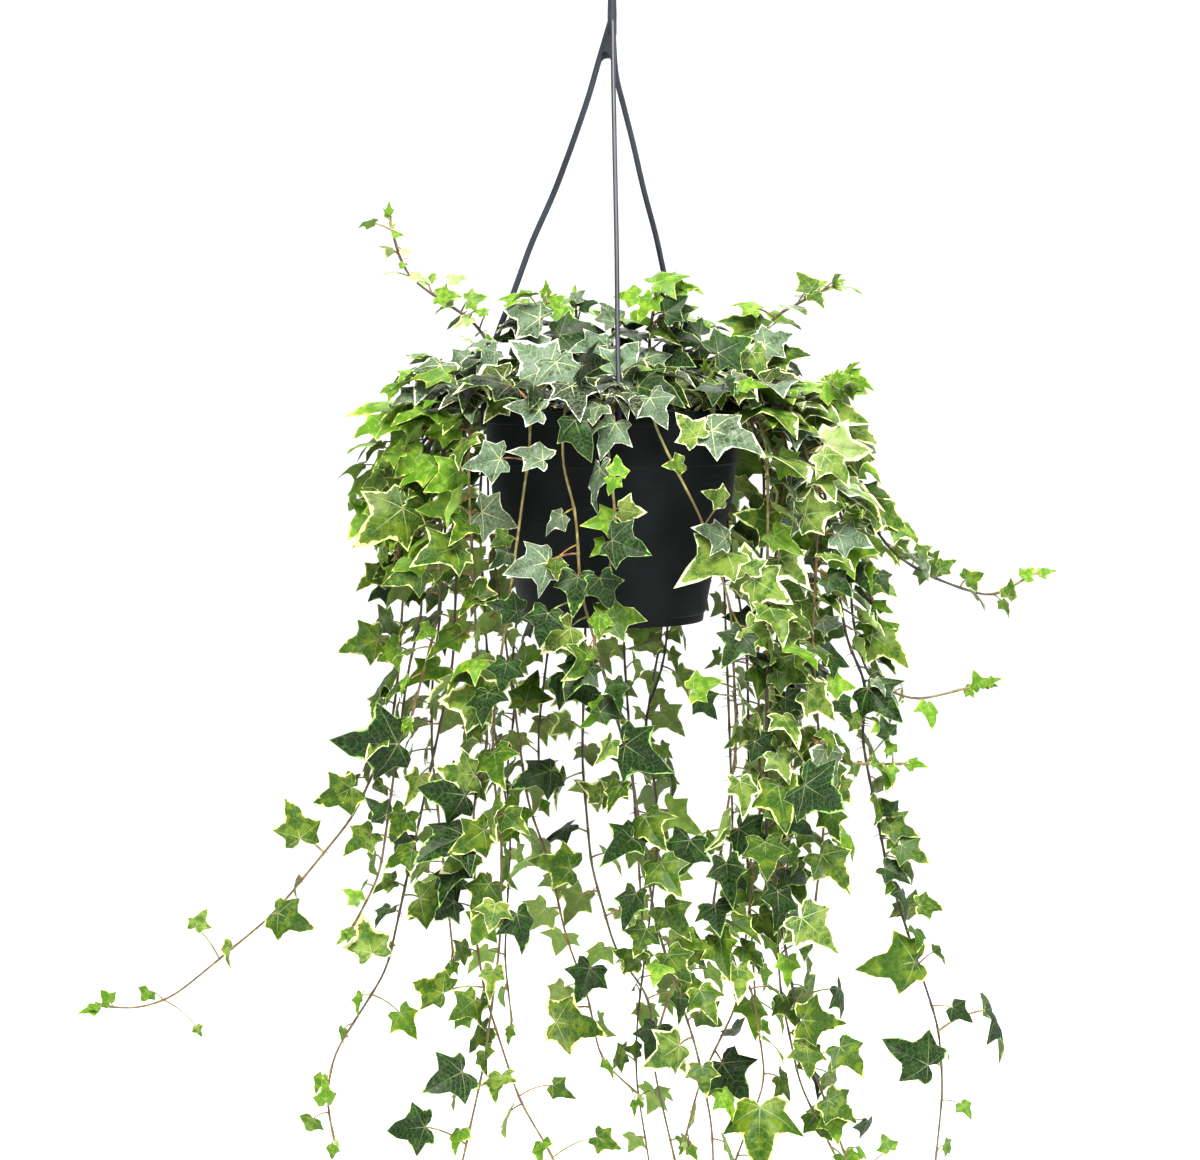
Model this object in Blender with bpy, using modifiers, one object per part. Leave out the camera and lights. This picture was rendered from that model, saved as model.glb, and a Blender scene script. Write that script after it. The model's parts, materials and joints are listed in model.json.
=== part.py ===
"""Ivy hanging basket: a black plastic pot on a three-strand hanger, full of trailing ivy.

Metres, +Z up. The origin is the point where the hook bears on what holds it, and the front faces -Y.
"""
import math
import random

import bmesh
import bpy
import numpy as np
from mathutils import Vector
from mathutils.bvhtree import BVHTree

MM = 0.001

# The view of the photograph, in which the routes of the stems and the leaves are read
PHOTO_CENTRE_X = 600.0
PHOTO_CENTRE_Y = 580.0
POT_AXIS_X = 612.5
METRES_PER_PIXEL = 0.675 * MM
VIEW_DISTANCE = 2.1
VIEW_PITCH = math.radians(5.0)
VIEW_TARGET_Z = -0.4565
FOCAL_PIXELS = VIEW_DISTANCE / METRES_PER_PIXEL
VIEW_FORWARD = Vector((0.0, math.cos(VIEW_PITCH), -math.sin(VIEW_PITCH)))
VIEW_UP = Vector((0.0, math.sin(VIEW_PITCH), math.cos(VIEW_PITCH)))
VIEW_TARGET = Vector(((PHOTO_CENTRE_X - POT_AXIS_X) * METRES_PER_PIXEL, 0.0, VIEW_TARGET_Z))
VIEW_POINT = VIEW_TARGET - VIEW_FORWARD * VIEW_DISTANCE

# Pot: height of the rim and the outer radius at each depth below it, both in mm
RIM_Z = -0.3403
POT_HEIGHT = 143.0 * MM
POT_OUTER = [
    (0.0, 86.2), (0.9, 87.0), (9.5, 87.0), (9.5, 85.2), (36.0, 84.2), (36.8, 83.3), (58.0, 80.9),
    (75.0, 77.2), (94.0, 72.6), (110.0, 67.8), (137.0, 62.6), (137.6, 61.8), (143.0, 61.3),
]
POT_INNER = [
    (140.8, 59.4), (110.0, 65.8), (94.0, 70.6), (75.0, 75.2), (58.0, 78.9), (36.8, 81.8), (0.0, 83.6),
]
POT_SIDES = 32
DRAIN_RADIUS = 4.0 * MM
DRAIN_RING = 36.0 * MM
DRAIN_COUNT = 4

# Soil: its level below the rim, and the gap that it keeps to the pot
SOIL_DEPTH = 18.0 * MM
SOIL_Z = RIM_Z - SOIL_DEPTH
SOIL_GAP = 0.35 * MM
STEM_HOLE_RADIUS = 3.7 * MM
STEM_HOLE_SIDES = 4
STEM_HOLE_DEPTH = 14.0 * MM
STEM_END_GAP = 0.4 * MM

# Hanger: hook, hub, three straps, and the pegs that clip through slots under the rim
HOOK_INNER_RADIUS = 11.0 * MM
HOOK_THICKNESS_RADIUS = 2.2 * MM
HUB_RADIUS = 3.1 * MM
HUB_TOP_Z = -0.052
HUB_BOTTOM_Z = -0.094
STRAP_RADIUS = 1.75 * MM
STRAP_RIM_RADIUS = 89.5 * MM
STRAP_STEP = 26.0 * MM
PEG_DEPTH = 12.2 * MM
PEG_WIDTH = 5.2 * MM
PEG_THICKNESS = 2.6 * MM
PEG_SLOT_GAP = 0.35 * MM
PEG_INNER_RADIUS = 80.3 * MM
BARB_THICKNESS = 1.8 * MM
BARB_HEIGHT = 4.2 * MM
STRAP_ROUTES = {
    "front": [(612.6, 38, -6), (614, 115, -29), (615.5, 191, -46), (616.8, 258, -61), (617.5, 335, -76)],
    "left": [(605, 38, 0.5), (588.7, 96, 4), (574.4, 138, 6), (553, 195, 10), (533, 240, 13),
             (512, 297, 16), (494, 345, 18)],
    "right": [(613, 34, 1), (615.5, 71, 6), (632.7, 142, 19), (644, 191, 29), (655.7, 235, 37),
              (662.4, 266, 44), (680, 345, 61)],
}
STRAP_END_X = {"front": 618.5, "left": 483.0, "right": 694.0}
STRAP_BEHIND = {"front": False, "left": True, "right": True}

# Stems: half thickness at the root and at the tip, and the gaps that they keep
STEM_ROOT_RADIUS = 2.1 * MM
STEM_TIP_RADIUS = 1.3 * MM
STEM_CLEARANCE = 1.1 * MM
STEM_TOLERANCE = 3.0 * MM
STEM_POT_GAP = 2.2 * MM
BASE_SPACING = 9.0 * MM
BASE_RING_LIMIT = 66.0 * MM
CLEARING_PASSES = 60

# Leaves: outlines of the right half as parts of the length, with the sag of each point
FIVE_LOBES = [
    (0.38, -0.18, -0.05), (0.44, 0.04, 0.01), (0.61, 0.30, -0.10), (0.27, 0.47, 0.0), (0.0, 1.0, -0.14),
]
THREE_LOBES = [(0.33, -0.13, -0.04), (0.56, 0.27, -0.08), (0.25, 0.46, 0.0), (0.0, 1.0, -0.12)]
SMALL_LEAF = 23.0 * MM
PETIOLE_RADIUS = 0.64 * MM
PETIOLE_LIMIT = 62.0 * MM
LEAF_GAP = 0.7 * MM
ROOT_SPACING = 4.5 * MM
CORNER_GAP = 1.2 * MM
FOLDED_WIDTH = 0.55

# Most leaves that the rule adds to a stem, by the first word of its name
RULE_LIMITS = {"crown": 1, "rear": 3, "front": 2, "back": 3}
SIDE_LIMIT = 5

# Stems by name: pixel x, pixel y, and mm behind the pot's axis, from the crown to the tip
VINE_ROUTES = {
    "front_left": [
        (536, 385, -55), (529, 408, -82), (531, 440, -84), (528, 475, -78), (523, 505, -74), (518, 545, -70),
        (513, 575, -66), (509, 605, -62), (503, 655, -58), (495, 700, -52), (491, 740, -50), (492, 765, -48),
        (499, 795, -48), (502, 840, -47), (501, 900, -46), (500, 945, -45), (492, 1000, -44), (484, 1065, -43),
        (474, 1110, -42), (461, 1160, -40), (455, 1195, -38)],
    "left_front": [
        (480, 395, -40), (470, 420, -52), (468, 470, -55), (470, 520, -52), (475, 560, -50), (477, 600, -46),
        (477, 650, -42), (486, 690, -38), (489, 740, -34), (480, 785, -30), (473, 805, -28), (472, 850, -28),
        (473, 900, -28), (476, 940, -28), (485, 995, -28), (499, 1037, -28), (509, 1070, -28),
        (519, 1100, -28), (545, 1145, -28), (556, 1162, -28), (565, 1190, -28)],
    "front_mid": [
        (575, 385, -60), (563, 412, -88), (562, 440, -92), (562, 465, -90), (567, 487, -88), (576, 512, -86),
        (577, 555, -82), (580, 590, -80), (588, 625, -78), (596, 658, -76), (609, 682, -74), (618, 715, -72),
        (624, 742, -70), (630, 765, -68), (633, 795, -66), (638, 820, -64), (644, 860, -62), (650, 890, -60),
        (656, 925, -58), (666, 958, -56), (675, 988, -54), (688, 1020, -52), (697, 1050, -50),
        (703, 1082, -48), (712, 1125, -46), (715, 1160, -44), (714, 1190, -42)],
    "front_centre": [
        (622, 380, -65), (612, 405, -92), (606, 430, -98), (608, 465, -97), (614, 500, -95), (617, 530, -92),
        (612, 560, -90), (606, 590, -88), (602, 615, -86), (594, 645, -84)],
    "front_right": [
        (640, 390, -60), (652, 420, -88), (662, 442, -88), (671, 460, -87), (681, 480, -84), (692, 497, -80),
        (701, 517, -76), (708, 545, -70), (716, 568, -64), (723, 588, -60), (731, 605, -58), (734, 640, -56),
        (737, 670, -54), (739, 705, -52), (737, 745, -50), (730, 775, -48), (726, 810, -47), (721, 850, -46),
        (714, 885, -45), (710, 925, -44), (718, 948, -42), (735, 965, -40), (752, 985, -38), (759, 1015, -36),
        (763, 1050, -36), (766, 1080, -36), (752, 1112, -34), (742, 1135, -34), (733, 1158, -34),
        (728, 1180, -34)],
    "right_long": [
        (760, 395, -20), (795, 420, -22), (815, 455, -24), (823, 480, -24), (829, 505, -22), (834, 535, -20),
        (838, 570, -18), (842, 605, -16), (846, 640, -15), (857, 662, -14), (868, 686, -12), (864, 710, -12),
        (861, 735, -12), (866, 758, -12), (873, 783, -12), (880, 815, -12), (884, 850, -12), (888, 872, -12),
        (897, 898, -12), (908, 925, -12), (917, 955, -12), (928, 992, -12), (939, 1028, -12),
        (943, 1055, -12), (943, 1090, -12), (940, 1135, -12), (935, 1165, -12), (932, 1195, -12)],
    "right_runner": [
        (770, 400, 10), (810, 430, 25), (840, 470, 30), (855, 497, 32), (868, 515, 32), (880, 537, 30),
        (891, 553, 28), (905, 559, 26), (930, 577, 24), (951, 586, 22), (976, 595, 20), (992, 599, 18),
        (1008, 593, 16), (1022, 585, 14), (1031, 575, 13)],
    "right_spur": [
        (752, 402, 22), (800, 440, 24), (838, 500, 20), (850, 560, 14), (852, 620, 8), (868, 680, 2),
        (880, 689, 0), (896, 698, -2), (913, 702, -4), (936, 699, -4), (957, 694, -4), (972, 691, -4),
        (979, 685, -4)],
    "top_right": [
        (720, 385, 10), (745, 365, 8), (752, 348, 6), (758, 332, 4), (770, 318, 3), (785, 307, 2),
        (800, 299, 1), (818, 291, 0), (830, 287, 0)],
    "top_left": [
        (500, 375, 30), (480, 325, 32), (462, 311, 33), (447, 302, 34), (430, 293, 35), (412, 281, 36),
        (402, 268, 36), (397, 255, 36), (393, 238, 36), (390, 222, 36)],
    "left_main": [
        (470, 400, 0), (440, 420, 0), (425, 460, 0), (420, 510, 0), (418, 548, 0), (422, 580, 0),
        (423, 610, 0), (415, 640, 0), (409, 665, 0), (408, 700, 0), (404, 730, 0), (397, 762, 0),
        (391, 787, 0), (387, 820, 0), (384, 850, 0), (380, 875, 0), (369, 897, 0), (360, 912, 0),
        (354, 925, 0)],
    "left_runner": [
        (465, 395, 20), (430, 425, 25), (410, 480, 28), (402, 550, 28), (400, 620, 28), (398, 680, 26),
        (390, 735, 22), (378, 770, 18), (364, 797, 14), (354, 816, 12), (335, 840, 10), (313, 863, 8),
        (286, 898, 6), (274, 914, 5), (250, 935, 4), (232, 949, 3), (210, 964, 2), (190, 981, 1),
        (172, 998, 0), (155, 1006, 0), (135, 1010, 0), (112, 1010, 0), (104, 1006, 0)],
    "left_long": [
        (478, 392, 30), (462, 430, 35), (458, 500, 35), (457, 560, 34), (455, 620, 32), (453, 665, 30),
        (445, 700, 28), (437, 728, 26), (432, 760, 24), (427, 795, 22), (417, 825, 20), (409, 855, 18),
        (403, 885, 16), (399, 915, 14), (392, 948, 12), (387, 970, 12), (377, 990, 12), (358, 1014, 10),
        (343, 1035, 10), (333, 1055, 8), (327, 1080, 8), (326, 1102, 8), (331, 1122, 8), (334, 1138, 8)],
    "left_mid": [
        (483, 398, -15), (450, 415, -25), (440, 450, -30), (436, 500, -30), (438, 560, -28), (440, 610, -26),
        (436, 640, -24), (426, 668, -22), (417, 692, -20), (412, 715, -20)],
    "left_bright_low": [
        (470, 410, -10), (440, 425, -30), (415, 450, -34), (400, 490, -34), (395, 530, -32), (398, 560, -30)],
    "left_bright_high": [
        (475, 405, 5), (435, 412, 5), (405, 425, 5), (388, 455, 6), (380, 490, 8), (378, 520, 8)],
    "right_brown": [
        (745, 400, -40), (765, 430, -55), (768, 480, -58), (768, 540, -56), (766, 600, -54), (765, 670, -50),
        (764, 720, -48), (763, 760, -46), (764, 800, -45), (766, 840, -44), (772, 875, -43), (779, 905, -42),
        (788, 945, -42), (792, 972, -42), (797, 1000, -42), (801, 1035, -42), (812, 1070, -42),
        (822, 1098, -42), (836, 1128, -42), (849, 1157, -42), (856, 1185, -42)],
    "right_light": [
        (755, 402, -10), (790, 440, -20), (785, 500, -26), (775, 560, -28), (768, 620, -28), (768, 668, -28),
        (778, 690, -28), (788, 713, -28), (802, 732, -28), (817, 750, -28), (840, 764, -28), (865, 767, -28),
        (882, 766, -28), (902, 764, -28)],
    "right_mid": [
        (735, 395, 10), (775, 415, 10), (795, 470, 8), (800, 540, 6), (800, 600, 4), (798, 660, 2),
        (795, 720, 0), (790, 780, -2), (780, 830, -4), (775, 880, -4), (776, 930, -4), (780, 990, -4),
        (788, 1045, -4), (800, 1085, -4), (812, 1118, -4), (825, 1142, -4), (842, 1160, -4), (850, 1185, -4)],
    "right_dark": [
        (715, 395, 30), (750, 410, 35), (765, 470, 35), (762, 560, 34), (758, 640, 32), (757, 720, 28),
        (760, 780, 24), (760, 820, 22), (752, 855, 20), (748, 890, 18), (750, 925, 16), (742, 975, 15),
        (738, 1003, 14), (728, 1025, 14), (715, 1050, 14), (700, 1080, 14), (690, 1110, 14), (685, 1140, 14)],
    "right_outer": [
        (770, 405, -5), (810, 425, -8), (835, 455, -8), (845, 500, -8), (850, 545, -8), (855, 585, -8),
        (870, 600, -8)],
    "right_front": [
        (750, 400, -30), (800, 430, -45), (815, 480, -50), (818, 530, -50), (815, 580, -48), (812, 640, -44),
        (815, 700, -40), (822, 760, -38), (825, 820, -36), (820, 870, -36), (815, 905, -36)],
    "right_shoot": [
        (730, 390, -20), (760, 408, -30), (785, 412, -34), (805, 403, -36), (820, 392, -37), (832, 385, -38),
        (842, 378, -38)],
    "back_mid_left": [
        (595, 400, 70), (590, 430, 98), (588, 520, 98), (586, 600, 90), (584, 660, 80), (583, 700, 75),
        (582, 760, 70), (585, 795, 66), (590, 830, 62), (591, 865, 60), (600, 895, 56), (609, 920, 54),
        (616, 953, 52), (630, 973, 50), (650, 997, 46), (655, 1030, 44), (654, 1070, 42), (664, 1108, 42),
        (670, 1135, 42), (676, 1165, 42)],
    "back_mid": [
        (650, 400, 75), (668, 430, 100), (672, 520, 98), (670, 600, 92), (667, 640, 88), (661, 675, 84),
        (655, 692, 82), (644, 715, 78), (646, 745, 75), (654, 772, 72), (657, 800, 70), (657, 860, 66),
        (655, 885, 64), (651, 920, 62), (646, 955, 60), (641, 985, 58), (637, 1020, 56), (636, 1080, 54),
        (640, 1112, 52), (647, 1148, 50), (652, 1180, 50)],
    "left_back": [
        (505, 395, 55), (490, 430, 72), (488, 520, 75), (500, 600, 70), (510, 680, 62), (520, 760, 55),
        (528, 805, 50), (540, 835, 46), (549, 860, 42), (556, 900, 38), (566, 938, 34), (578, 965, 32),
        (588, 995, 30), (594, 1025, 30), (600, 1060, 28), (618, 1077, 28), (637, 1093, 28)],
    "back_diagonal": [
        (690, 400, 60), (715, 430, 85), (722, 520, 85), (726, 600, 80), (730, 680, 75), (732, 760, 70),
        (733, 830, 65), (730, 890, 60), (722, 930, 58), (705, 952, 56), (688, 968, 54), (672, 985, 52),
        (665, 1003, 50), (660, 1025, 48)],
    "crown_left_front": [(560, 410, -50), (555, 385, -50), (550, 365, -50)],
    "crown_front": [(625, 405, -40), (622, 385, -55), (620, 372, -62)],
    "crown_top": [(650, 400, -10), (650, 360, -15), (649, 335, -18), (652, 312, -20), (657, 290, -22)],
    "crown_middle": [(610, 400, 10), (612, 350, 10), (613, 322, 8)],
    "crown_left_top": [(545, 400, 0), (540, 360, -5), (537, 330, -10), (545, 305, -10)],
    "crown_back": [(580, 400, 25), (578, 350, 25), (576, 310, 24)],
    "crown_right_back": [(680, 400, 20), (682, 350, 18), (680, 318, 16)],
    "crown_right_front": [(700, 405, -20), (706, 375, -35)],
    "crown_left": [(505, 400, -15), (498, 370, -22), (492, 350, -25)],
    "crown_far_left": [(480, 395, -8), (465, 375, -12), (445, 372, -15), (425, 385, -18), (405, 400, -18)],
    "crown_right_low": [(700, 400, -50), (715, 388, -76), (716, 402, -97), (712, 418, -100)],
}

# Stems at the back, which the photograph hides: direction in degrees, length and drift in mm
BACK_STEMS = {
    "rear_a": (22.0, 330.0, 24.0),
    "rear_b": (48.0, 430.0, -30.0),
    "rear_c": (70.0, 250.0, 18.0),
    "rear_d": (88.0, 390.0, -20.0),
    "rear_e": (104.0, 280.0, 26.0),
    "rear_f": (122.0, 440.0, 14.0),
    "rear_g": (140.0, 300.0, -24.0),
    "rear_h": (158.0, 380.0, 20.0),
}

# Leaves read from the photograph: kind, then the pixels of the stalk's end and of the tip
# Kinds: g grey green, d dark green, m middle green, v cream edged, l lime, p pale
# A second letter: n is seen from its edge, f is folded along its rib
LEAF_MARKS = {
    "crown": [
        ("g", 548, 370, 508, 334), ("g", 556, 362, 572, 400), ("g", 577, 380, 600, 352),
        ("g", 617, 373, 640, 337), ("g", 645, 358, 668, 380), ("d", 638, 386, 682, 395),
        ("g", 650, 398, 668, 428), ("v", 697, 437, 676, 412), ("g", 722, 385, 757, 405),
        ("g", 712, 430, 765, 442), ("g", 783, 420, 838, 433), ("g", 795, 455, 841, 483),
        ("g", 738, 483, 770, 492), ("d", 718, 353, 756, 334), ("l", 757, 309, 730, 299),
        ("m", 755, 330, 717, 313), ("g", 765, 345, 795, 330), ("m", 772, 357, 810, 349),
        ("l", 808, 293, 828, 278), ("m", 812, 288, 797, 268), ("m", 812, 294, 825, 304),
        ("l", 835, 287, 845, 281), ("l", 655, 283, 690, 268), ("l", 655, 290, 665, 283),
        ("l", 652, 298, 636, 322), ("l", 638, 296, 611, 294), ("d", 700, 335, 674, 318),
        ("d", 665, 313, 690, 293), ("g", 615, 322, 600, 295), ("g", 540, 318, 502, 301),
        ("l", 552, 303, 565, 294), ("g", 575, 300, 585, 288), ("d", 580, 307, 600, 299),
        ("l", 565, 305, 527, 312), ("g", 535, 348, 530, 320), ("d", 560, 335, 612, 325),
        ("g", 607, 345, 570, 347), ("g", 490, 345, 465, 343), ("g", 495, 352, 470, 372),
        ("g", 440, 365, 412, 398), ("g", 468, 360, 440, 372), ("m", 460, 378, 444, 393),
        ("g", 415, 392, 392, 403), ("v", 503, 400, 483, 420), ("m", 490, 405, 463, 412),
        ("g", 540, 410, 503, 404), ("g", 600, 405, 558, 422), ("g", 615, 423, 595, 457),
        ("d", 575, 420, 588, 460), ("l", 815, 388, 781, 384), ("l", 822, 392, 845, 396),
        ("l", 834, 381, 850, 375), ("v", 800, 400, 830, 412), ("m", 830, 403, 852, 412),
        ("v", 752, 352, 768, 384),
    ],
    "pot": [
        ("g", 543, 460, 507, 444), ("g", 500, 459, 460, 466), ("gn", 562, 515, 541, 533),
        ("gn", 600, 468, 588, 514), ("l", 618, 475, 618, 452), ("l", 615, 478, 607, 495),
        ("v", 620, 510, 648, 515), ("l", 613, 520, 586, 524), ("l", 605, 542, 592, 556),
        ("d", 612, 540, 651, 552), ("d", 600, 578, 613, 612), ("d", 578, 577, 573, 614),
        ("m", 605, 618, 649, 612), ("l", 600, 616, 597, 641), ("v", 570, 628, 538, 652),
        ("d", 548, 613, 537, 645), ("g", 548, 562, 508, 568), ("m", 555, 560, 556, 580),
        ("g", 482, 512, 521, 527), ("m", 508, 535, 490, 548), ("d", 508, 553, 490, 568),
        ("vf", 727, 553, 678, 582), ("v", 746, 572, 745, 540), ("v", 755, 580, 793, 602),
        ("v", 725, 500, 703, 492), ("g", 725, 538, 695, 523), ("m", 683, 463, 662, 467),
    ],
    "right": [
        ("m", 778, 525, 737, 510), ("v", 800, 505, 767, 463), ("v", 805, 515, 848, 505),
        ("v", 828, 548, 800, 528), ("l", 835, 550, 884, 545), ("l", 850, 512, 868, 502),
        ("l", 862, 545, 882, 540), ("d", 878, 575, 890, 592), ("m", 865, 492, 893, 495),
        ("m", 877, 508, 910, 530), ("m", 918, 552, 934, 544), ("m", 941, 569, 958, 559),
        ("m", 966, 580, 988, 572), ("m", 1008, 597, 1016, 577), ("l", 1024, 578, 1036, 566),
        ("v", 770, 608, 788, 640), ("v", 748, 628, 780, 650), ("d", 750, 622, 721, 612),
        ("d", 742, 635, 722, 665), ("m", 872, 635, 912, 662), ("d", 868, 688, 895, 717),
        ("l", 980, 688, 972, 670), ("l", 893, 752, 885, 737), ("d", 890, 735, 880, 716),
        ("m", 860, 722, 840, 712), ("v", 808, 692, 840, 718), ("m", 790, 712, 778, 685),
        ("gn", 826, 750, 838, 803), ("d", 805, 785, 850, 815), ("m", 778, 785, 787, 832),
        ("m", 822, 855, 853, 888), ("d", 893, 812, 880, 798), ("m", 890, 825, 921, 835),
        ("m", 902, 845, 930, 862), ("d", 885, 868, 912, 880), ("l", 893, 882, 885, 895),
        ("m", 920, 905, 948, 908), ("m", 915, 962, 857, 968), ("d", 928, 1065, 882, 1040),
        ("dn", 992, 1008, 1017, 1058), ("m", 803, 1020, 845, 1022), ("m", 840, 1047, 867, 1070),
        ("dn", 838, 988, 848, 1022), ("v", 802, 918, 841, 950), ("v", 800, 922, 810, 962),
        ("m", 828, 1100, 858, 1118), ("m", 815, 1115, 830, 1140), ("dn", 868, 1120, 862, 1145),
        ("l", 890, 1150, 882, 1133), ("m", 765, 842, 768, 880), ("m", 732, 885, 768, 903),
    ],
    "left": [
        ("m", 403, 508, 357, 545), ("m", 377, 640, 340, 648), ("mn", 394, 668, 368, 695),
        ("d", 398, 744, 332, 743), ("m", 352, 788, 314, 805), ("d", 386, 815, 365, 798),
        ("m", 300, 838, 288, 797), ("l", 360, 900, 342, 885), ("v", 372, 953, 358, 913),
        ("m", 412, 850, 380, 865), ("d", 465, 835, 415, 850), ("v", 470, 853, 438, 873),
        ("m", 420, 898, 465, 910), ("m", 443, 993, 407, 980), ("l", 400, 1013, 420, 1038),
        ("l", 467, 1012, 448, 1028), ("d", 462, 1072, 425, 1087), ("d", 425, 1127, 382, 1133),
        ("l", 326, 1103, 325, 1080), ("v", 485, 700, 433, 698), ("m", 477, 597, 482, 571),
        ("d", 517, 612, 485, 603), ("d", 507, 663, 500, 694), ("m", 525, 703, 535, 665),
        ("d", 551, 770, 511, 780), ("v", 474, 775, 432, 772), ("d", 465, 795, 415, 790),
        ("m", 505, 815, 528, 828), ("m", 571, 869, 530, 858), ("d", 517, 914, 530, 951),
        ("d", 590, 968, 577, 1000), ("m", 556, 1022, 610, 1030), ("m", 553, 1085, 575, 1100),
        ("m", 597, 1137, 622, 1150), ("v", 679, 1046, 643, 1068), ("d", 657, 1028, 648, 1060),
        ("d", 722, 1063, 747, 1098), ("m", 760, 1107, 755, 1160), ("m", 640, 1050, 622, 1050),
        ("l", 110, 1003, 98, 990), ("v", 195, 928, 207, 905), ("v", 196, 1026, 203, 1036),
        ("m", 278, 913, 313, 928),
    ],
    "middle": [
        ("v", 600, 795, 580, 782), ("d", 625, 745, 668, 772), ("d", 700, 697, 716, 718),
        ("l", 693, 690, 722, 678), ("d", 600, 712, 625, 684), ("d", 567, 672, 600, 705),
        ("d", 690, 840, 675, 880), ("m", 715, 850, 705, 830), ("m", 668, 955, 690, 985),
        ("m", 690, 950, 720, 942), ("m", 640, 960, 612, 948), ("m", 700, 990, 716, 1015),
    ],
    "top_left": [
        ("l", 391, 228, 400, 218), ("l", 393, 234, 409, 234), ("l", 402, 250, 420, 254),
        ("l", 412, 276, 440, 280), ("l", 450, 280, 480, 272), ("l", 400, 266, 412, 262),
        ("v", 438, 296, 470, 292), ("p", 468, 300, 496, 294), ("m", 447, 304, 462, 290),
        ("p", 487, 312, 460, 308), ("v", 470, 318, 443, 333),
    ],
}


def from_photo(pixel_x, pixel_y, depth):
    """Point seen at a pixel of the photograph, at a depth in mm behind the pot's axis."""
    ray = VIEW_FORWARD * FOCAL_PIXELS + VIEW_UP * (PHOTO_CENTRE_Y - pixel_y)
    ray.x += pixel_x - PHOTO_CENTRE_X
    return VIEW_POINT + ray * ((depth * MM - VIEW_POINT.y) / ray.y)


def plan_radius(point):
    """Distance of a point from the pot's axis."""
    return math.hypot(point.x, point.y)


def pot_radius(z):
    """Outer radius of the pot at a height, as the widest that lies at or above it."""
    depth = (RIM_Z - z) / MM
    if depth < 0.0 or depth > POT_HEIGHT / MM:
        return 0.0
    depths = [row[0] for row in POT_OUTER]
    radii = [row[1] for row in POT_OUTER]
    return MM * float(np.interp(depth, depths, radii))


def smooth_route(points, step):
    """Points at about even steps on a smooth curve through the given points."""
    result = []
    last = len(points) - 1
    for index in range(last):
        before = points[max(index - 1, 0)]
        start = points[index]
        end = points[index + 1]
        after = points[min(index + 2, last)]
        pieces = max(1, round((end - start).length / step))
        for piece in range(pieces):
            t = piece / pieces
            result.append(0.5 * (2.0 * start + (end - before) * t
                                 + (2.0 * before - 5.0 * start + 4.0 * end - after) * t ** 2
                                 + (3.0 * start - before - 3.0 * end + after) * t ** 3))
    result.append(points[last].copy())
    return result


def thin_out(points, first, last, tolerance):
    """Indices of the points that keep a route's shape within the tolerance."""
    if last - first < 2:
        return [first, last]
    run = points[last] - points[first]
    worst = first
    distance = 0.0
    for index in range(first + 1, last):
        along = (points[index] - points[first]).dot(run) / max(run.length_squared, 1e-12)
        foot = points[first] + run * min(max(along, 0.0), 1.0)
        miss = (points[index] - foot).length
        if miss > distance:
            worst = index
            distance = miss
    if distance <= tolerance:
        return [first, last]
    return thin_out(points, first, worst, tolerance)[:-1] + thin_out(points, worst, last, tolerance)


def back_route(direction, length, drift, rng):
    """Route of a stem that leaves the pot at the back and hangs down with a slight drift."""
    angle = math.radians(direction)
    outward = Vector((math.cos(angle), math.sin(angle), 0.0))
    aside = Vector((-outward.y, outward.x, 0.0))
    points = [outward * 0.070 + Vector((0.0, 0.0, RIM_Z + 0.014))]
    points.append(outward * 0.101 + Vector((0.0, 0.0, RIM_Z + 0.003)))
    steps = max(3, round(length / 45.0))
    for index in range(1, steps + 1):
        part = index / steps
        reach = 0.112 + 0.016 * math.sin(3.0 * part) + rng.uniform(-0.003, 0.003)
        sway = drift * MM * part ** 1.5 + rng.uniform(-0.004, 0.004)
        down = Vector((0.0, 0.0, RIM_Z - length * MM * part))
        points.append(outward * reach + aside * sway + down)
    return points


def spread_bases(wanted):
    """Root positions on the soil, moved apart until each keeps its spacing."""
    places = [Vector((point.x, point.y)) for point in wanted]
    for index, place in enumerate(places):
        place.length = max(place.length, 0.004) + 0.0001 * (index % 7)
    for _ in range(200):
        for first in range(len(places)):
            for second in range(first + 1, len(places)):
                apart = places[second] - places[first]
                short = BASE_SPACING - apart.length
                if short > 0.0:
                    push = apart.normalized() * (short * 0.5)
                    places[first] -= push
                    places[second] += push
        for place in places:
            if place.length > BASE_RING_LIMIT:
                place.length = BASE_RING_LIMIT
    return places


def over_the_rim(base, route):
    """Whole route of a stem: straight up out of its hole, over the rim, then as it hangs."""
    foot = Vector((base.x, base.y, SOIL_Z - STEM_HOLE_DEPTH + STEM_END_GAP))
    points = [foot, Vector((base.x, base.y, SOIL_Z + 0.006))]
    inside = [point for point in route if plan_radius(point) < 0.0855 and point.z > RIM_Z]
    inside = inside[:1] if len(inside) < len(route) else inside
    points += inside
    outside = route[len(inside):]
    if outside and any(plan_radius(point) > 0.0855 for point in outside):
        start = points[-1]
        end = outside[0]
        if not inside:
            middle = start.lerp(end, 0.45)
            middle.z = RIM_Z + 0.013
            points.append(middle)
            start = middle
        for step in range(1, 40):
            crossing = start.lerp(end, step / 40.0)
            if plan_radius(crossing) >= 0.085:
                break
        if plan_radius(end) > 0.087:
            crossing.z = max(crossing.z, RIM_Z + 0.007)
            points.append(crossing)
    return points + outside


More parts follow.
